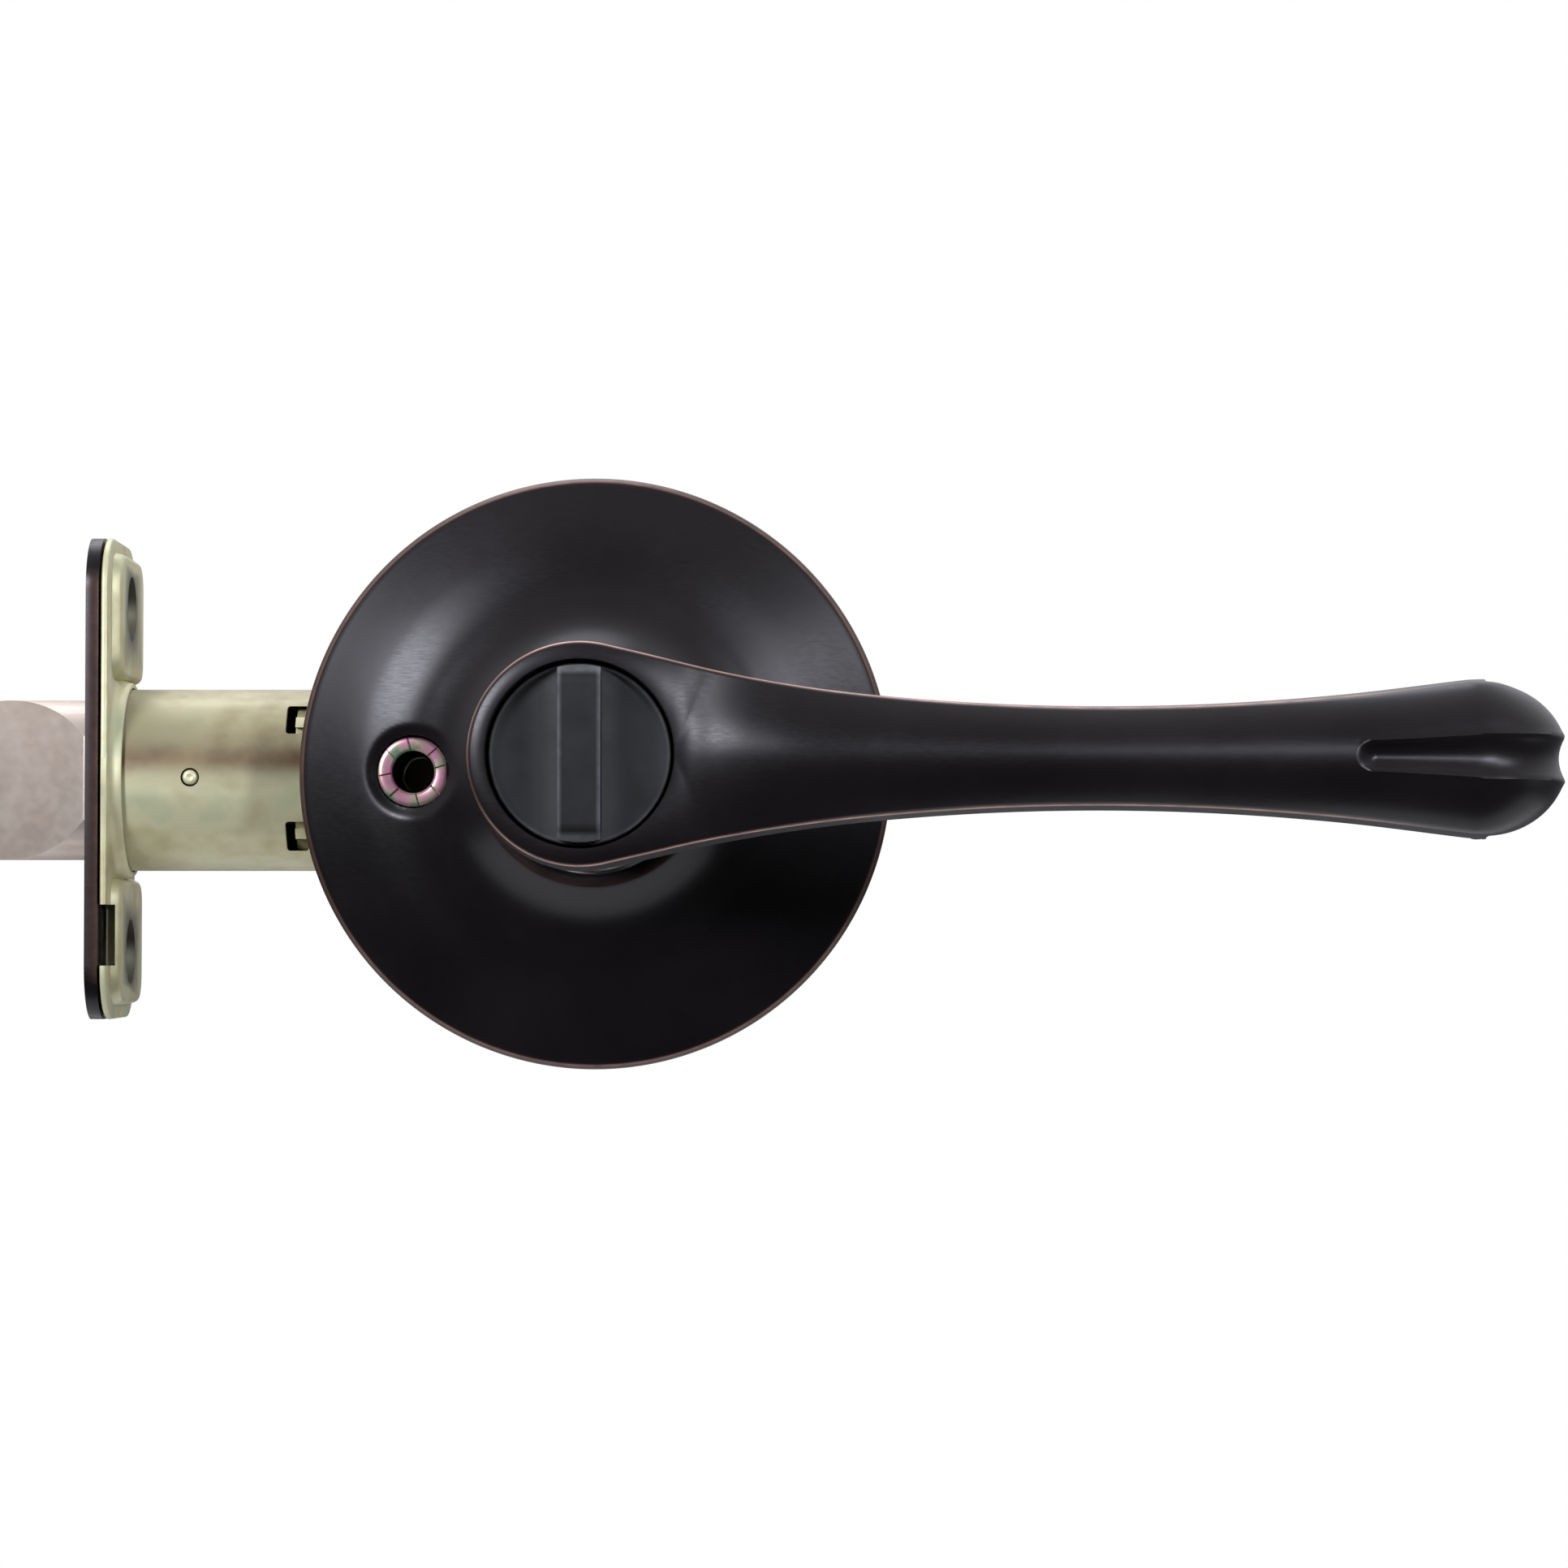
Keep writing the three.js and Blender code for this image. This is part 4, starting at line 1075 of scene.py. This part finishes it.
def tube_parts():
    low, high = TUBE_LOW[0], TUBE_HIGH[0]
    outer, inner = TUBE_RADIUS, TUBE_RADIUS - 0.9
    profile = [(inner, low), (outer, low), (outer, high), (inner, high)]
    tube = lathe("tube", rounded(profile, 0.15), 192, "x", (LATCH_AXIS, 0))
    cutters = []
    for side in (-1, 1):
        bottom, top = span(side, 5.2, 8.6)
        slot = rounded(rectangle((-37.1, bottom), (-34.5, top)), 0.4)
        cutters.append(prism("slot", slot, LATCH_AXIS - 12, LATCH_AXIS - 4.5))
    cutters.append(prism("pin_hole", circle(1.1, (TUBE_PIN_X, 0), 48), LATCH_AXIS - 12, LATCH_AXIS - 8))
    cut(tube, *cutters)

    # painted dark reflection band across the middle of the tube's front, and painted shade towards its top
    def painted_dark_band(x, y, z):
        band = np.exp(-(((z - 2.1) / 2.3) ** 2)) + 0.5 * smooth_step(z, 2, 6)
        return band * (y < LATCH_AXIS)

    set_attribute(tube, "painted_dark_band", painted_dark_band)
    # painted shade inside the tube
    set_attribute(tube, "painted_recess_shade", lambda x, y, z: 0.5 * (np.hypot(y - LATCH_AXIS, z) < inner + 0.1))
    finished(tube, "mount", "zinc_chromate", ZINC, "latch_tube")

    front = box_mm("tube_pin")[0][1]
    back = front + 2.55
    pin = [(ON_AXIS, front + 0.1), (0.45, front), (0.75, front + 0.1), (0.9, front + 0.4), (0.9, back)]
    turned = lathe("case_pin", rounded([*pin, (ON_AXIS, back)], 0.03), 48, centre=(TUBE_PIN_X, 0))
    finished(turned, "mount", "zinc_chromate", ZINC, "tube_pin")

    seat = prism("seat_disc", about_latch(9.7), -36, -34.6, axis="x")
    for side in (-1, 1):
        bottom, top = span(side, 6, 7.2)
        shape = rectangle((LATCH_AXIS - 9, bottom), (LATCH_AXIS - 6.2, top))
        ear = prism("ear", shape, -36, -34.6, axis="x")
        joined(seat, common(ear, prism("r", about_latch(10.6), -37, -33, axis="x")))
    cut(seat, prism("window", rectangle((LATCH_AXIS - 4.5, -6), (LATCH_AXIS - 1.9, 6)), -38, -33, axis="x"))
    finished(bevelled(seat, 0.12, 2), "mount", "zinc_chromate", ZINC, "spring_seat")

    coil = helix(7.6, 4.5, 15.6)
    coil = np.stack([-53.1 + coil[:, 1], LATCH_AXIS - coil[:, 0], coil[:, 2]], axis=-1)
    finished(swept("compression_spring", coil, 0.5), "mount", "spring_steel", SPRING, "bolt_spring")


def bolt_parts():
    tip, face = BOLT_LOW[0], FACE_LOW[0]
    tongue = tapered_d(0, tip, -52)
    slope = [(face - 4.5, -5.3), (face - 8.2, -2.3)]
    curve = [(tip - 1, -9), (face - 0.8, -9), (face - 0.8, -BOLT_FRONT), *slope, (tip, 0.6), (tip - 1, 0.6)]
    shape = rounded([(x, y + LATCH_AXIS, 2.5 if k in (3, 4) else 0) for k, (x, y) in enumerate(curve)], 0, 6)
    vertices = [(x, y, -15) for x, y in shape] + [(x, y, 15) for x, y in shape]
    count = len(shape)
    faces = [(k, (k + 1) % count, count + (k + 1) % count, count + k) for k in range(count)]
    cut(tongue, made("bevel", vertices, faces + [tuple(range(count)), tuple(range(count, 2 * count))]))
    bevelled(tongue, 0.4, 3, 30)
    end = BOLT_HIGH[0]
    guide = prism("guide", about_latch(BOLT_RADIUS, 160), -57.2, end, axis="x")
    joined(tongue, guide)
    groove = rectangle((LATCH_AXIS - 12, -1.3), (LATCH_AXIS - 6.6, 1.3))
    slot = rectangle((LATCH_AXIS - 4.2, -5.8), (LATCH_AXIS - 2, 5.8))
    cut(
        tongue,
        prism("bore", about_latch(8.5), -54, end + 1, axis="x"),
        prism("groove", groove, -58.2, end + 1, axis="x"),
        prism("slot", slot, -58.6, -50, axis="x"),
        prism("pin_hole", circle(1.35, (CROSS_PIN_X, 0), 48), LATCH_AXIS - 12, LATCH_AXIS + 12),
    )
    finished(tongue, "latch_bolt", "bolt_metal", NICKEL, "latch_bolt")

    throat = BARREL_RADIUS + 0.3
    sweep = np.radians(np.linspace(90, 152, 12))
    around = [(throat * math.cos(a) - BOLT_TRAVEL, throat * math.sin(a)) for a in sweep]
    arm = [(-58.2, 5.4), (-17.4, 5.4), (-17.4, 8), (-14, 11.2), (-2.6, 11.2), (-2.6, 7.9), (-10.5, 7.9)]
    stem = [*arm, *around, (-18, 3), (-36, 3)]
    shape = stem + [(x, -z) for x, z in reversed(stem)]
    bar = prism("draw_plate", rounded(shape, 0.4), LATCH_AXIS - 3.9, LATCH_AXIS - 2.5)
    tabs = []
    for side in (-1, 1):
        bottom, top = span(side, 9, 11.2)
        tabs.append(prism("tab", rectangle((-4, bottom), (-2.6, top)), LATCH_AXIS - 2.6, LATCH_AXIS + 2))
    joined(bar, *tabs)
    cut(bar, prism("hole", circle(1.35, (CROSS_PIN_X, 0), 48), LATCH_AXIS - 6, LATCH_AXIS))
    finished(bevelled(bar, 0.15, 2), "latch_bolt", "zinc_chromate", ZINC, "draw_bar")

    front, back = (corner[1] for corner in box_mm("cross_pin"))
    pin = [(ON_AXIS, front), (1.2, front, 0.25), (1.2, back, 0.25), (ON_AXIS, back)]
    turned = lathe("bolt_pin", rounded(pin, 0), 48, centre=(CROSS_PIN_X, 0))
    finished(turned, "latch_bolt", "steel", STEEL, "cross_pin")


def case_parts():
    below = [(-34.2, -7.1), (-19, -7.1), (-15.5, -12.5), (8, -12.5), (15, -7)]
    outline = below + [(x, -z) for x, z in reversed(below)]
    for side, node in ((-1, "latch_case_front"), (1, "latch_case_back")):
        inner, outer, lip = (LATCH_AXIS + side * d for d in (5.2, 6.2, 0.2))
        sheet = prism("case_" + node[11:], rounded(outline, 1.2), min(inner, outer), max(inner, outer))
        walls = []
        for up in (-1, 1):
            bottom, top = span(up, 6.1, 7.1)
            shape = rectangle((-34.2, bottom), (-19, top))
            walls.append(prism("wall", shape, min(lip, outer), max(lip, outer)))
        joined(sheet, *walls)
        holes = [(BARREL_RADIUS + 0.2, (0, 0)), *[(1.2, (RIVET_X, s * RIVET_HEIGHT)) for s in (1, -1)]]
        if side < 0:
            holes.append((2.7, (-POST_OFFSET, 0)))
        cut(sheet, *[prism("hole", circle(r, c, 72), LATCH_AXIS - 8, LATCH_AXIS + 8) for r, c in holes])
        bevelled(sheet, 0.18, 2)
        # painted shade on the inner faces between the two case halves
        set_attribute(sheet, "painted_recess_shade", lambda x, y, z: np.abs(y - LATCH_AXIS) < 5.3)
        finished(sheet, "mount", "zinc_chromate", ZINC, node)
    half = [(ON_AXIS, -7), (1.3, -7), (1.75, -6.8), (2, -6.4), (1.05, -6.4), (1.05, -5), (1.8, -5)]
    profile = half + [(r, -y) for r, y in reversed(half)]
    for side, node in ((1, "case_rivet_upper"), (-1, "case_rivet_lower")):
        turned = [(r, y + LATCH_AXIS) for r, y in profile]
        rivet = lathe("rivet_" + node[11:], rounded(turned, 0.08), 48, centre=(RIVET_X, side * RIVET_HEIGHT))
        finished(rivet, "mount", "steel", STEEL, node)

    hub = prism("cam_barrel", circle(BARREL_RADIUS, segments=128), LATCH_AXIS - 7.4, LATCH_AXIS + 7.4)
    for up in (1, -1):
        lean = math.radians(30)
        out = np.array([-math.sin(lean), math.cos(lean)]) * up
        across = np.array([out[1], -out[0]])
        turn = np.linspace(0, math.pi, 15)
        ends = [out * 11.4 + 0.8 * (across * math.cos(a) + out * math.sin(a)) for a in turn]
        shape = [tuple(across * 0.8), *[tuple(p) for p in ends], tuple(-across * 0.8)]
        joined(hub, prism("lug", shape, LATCH_AXIS - 1.7, LATCH_AXIS + 1.7))
    half = SPINDLE_HIGH[0] + 0.12
    square = rectangle((-half, -half), (half, half))
    cut(hub, prism("hole", square, LATCH_AXIS - 9, LATCH_AXIS + 9))
    finished(bevelled(hub, 0.2, 2), "lever", "steel", STEEL, "cam_hub")


# ---------- studio ----------

def studio():
    front, back, side, level = -100, 900, 900, -500
    corners = [(-side, front, level), (side, front, level), (side, back, level), (-side, back, level)]
    floor = made("floor", corners, [(0, 1, 2, 3)])
    floor.data.materials.append(pale_floor())

    world = bpy.data.worlds.new("studio")
    bpy.context.scene.world = world
    world.use_nodes = True
    nodes, links = world.node_tree.nodes, world.node_tree.links
    background = nodes["Background"]
    seen = nodes.new("ShaderNodeBackground")
    seen.inputs["Color"].default_value = (1, 1, 1, 1)
    place = nodes.new("ShaderNodeTexCoord")
    direction = nodes.new("ShaderNodeSeparateXYZ")
    links.new(place.outputs["Generated"], direction.inputs["Vector"])

    def graded(axis, stops):
        """The world's brightness along one direction, as a ramp from -1 to 1."""
        ramp = nodes.new("ShaderNodeValToRGB")
        shift = nodes.new("ShaderNodeMapRange")
        links.new(direction.outputs[axis], shift.inputs["Value"])
        shift.inputs["From Min"].default_value = -1
        shift.inputs["From Max"].default_value = 1
        links.new(shift.outputs["Result"], ramp.inputs["Fac"])
        elements = ramp.color_ramp.elements
        while len(elements) < len(stops):
            elements.new(0.5)
        for element, (position, value) in zip(elements, stops):
            element.position = position
            element.color = (value, value, value * 1.03, 1)
        return ramp.outputs["Color"]

    depth = graded("Y", [(0.05, 0.07), (0.30, 0.50), (0.60, 0.95)])
    height = graded("Z", [(0.30, 0.07), (0.44, 0.10), (0.60, 0.60), (0.85, 1.0)])
    product = nodes.new("ShaderNodeMix")
    product.data_type = "RGBA"
    product.blend_type = "MULTIPLY"
    product.inputs["Factor"].default_value = 1
    links.new(depth, product.inputs["A"])
    links.new(height, product.inputs["B"])
    links.new(product.outputs["Result"], background.inputs["Color"])
    background.inputs["Strength"].default_value = 1.3
    ray = nodes.new("ShaderNodeLightPath")
    either = nodes.new("ShaderNodeMixShader")
    links.new(ray.outputs["Is Camera Ray"], either.inputs["Fac"])
    links.new(background.outputs["Background"], either.inputs[1])
    links.new(seen.outputs["Background"], either.inputs[2])
    links.new(either.outputs["Shader"], nodes["World Output"].inputs["Surface"])

    softboxes = [
        ("softbox_left", (-0.60, -0.86, 0.32), 0.34, 12.0),
        ("softbox_right", (0.75, -0.78, 0.40), 0.30, 3.2),
        ("softbox_centre", (0.48, -0.95, 0.24), 0.12, 5.0),
        ("softbox_top", (-0.1, 0.45, 0.95), 0.7, 4.0),
    ]
    for name, place_at, size, power in softboxes:
        light = bpy.data.lights.new(name, "AREA")
        light.shape = "DISK"
        light.size = size
        light.energy = power
        light.color = (0.88, 0.91, 1.0)
        lamp = bpy.data.objects.new(name, light)
        lamp.location = place_at
        aim = Vector((0.01, -0.02, 0)) - lamp.location
        lamp.rotation_euler = aim.to_track_quat("-Z", "Y").to_euler()
        bpy.context.scene.collection.objects.link(lamp)

    camera = bpy.data.objects.new("camera", bpy.data.cameras.new("camera"))
    camera.data.lens = 102.2
    camera.data.sensor_width = 36
    camera.data.clip_start = 0.01
    camera.location = (0.0149, -0.514, -0.0182)
    camera.rotation_euler = (math.radians(90 + 1.9), 0, math.radians(-0.76))
    bpy.context.scene.collection.objects.link(camera)
    bpy.context.scene.camera = camera
    bpy.context.scene.view_settings.view_transform = "Standard"


studio()
lever_casting()
thumb_turn()
lock_parts()
rose_cover()
mount_parts()
screw_posts()
face_parts()
tube_parts()
bolt_parts()
case_parts()
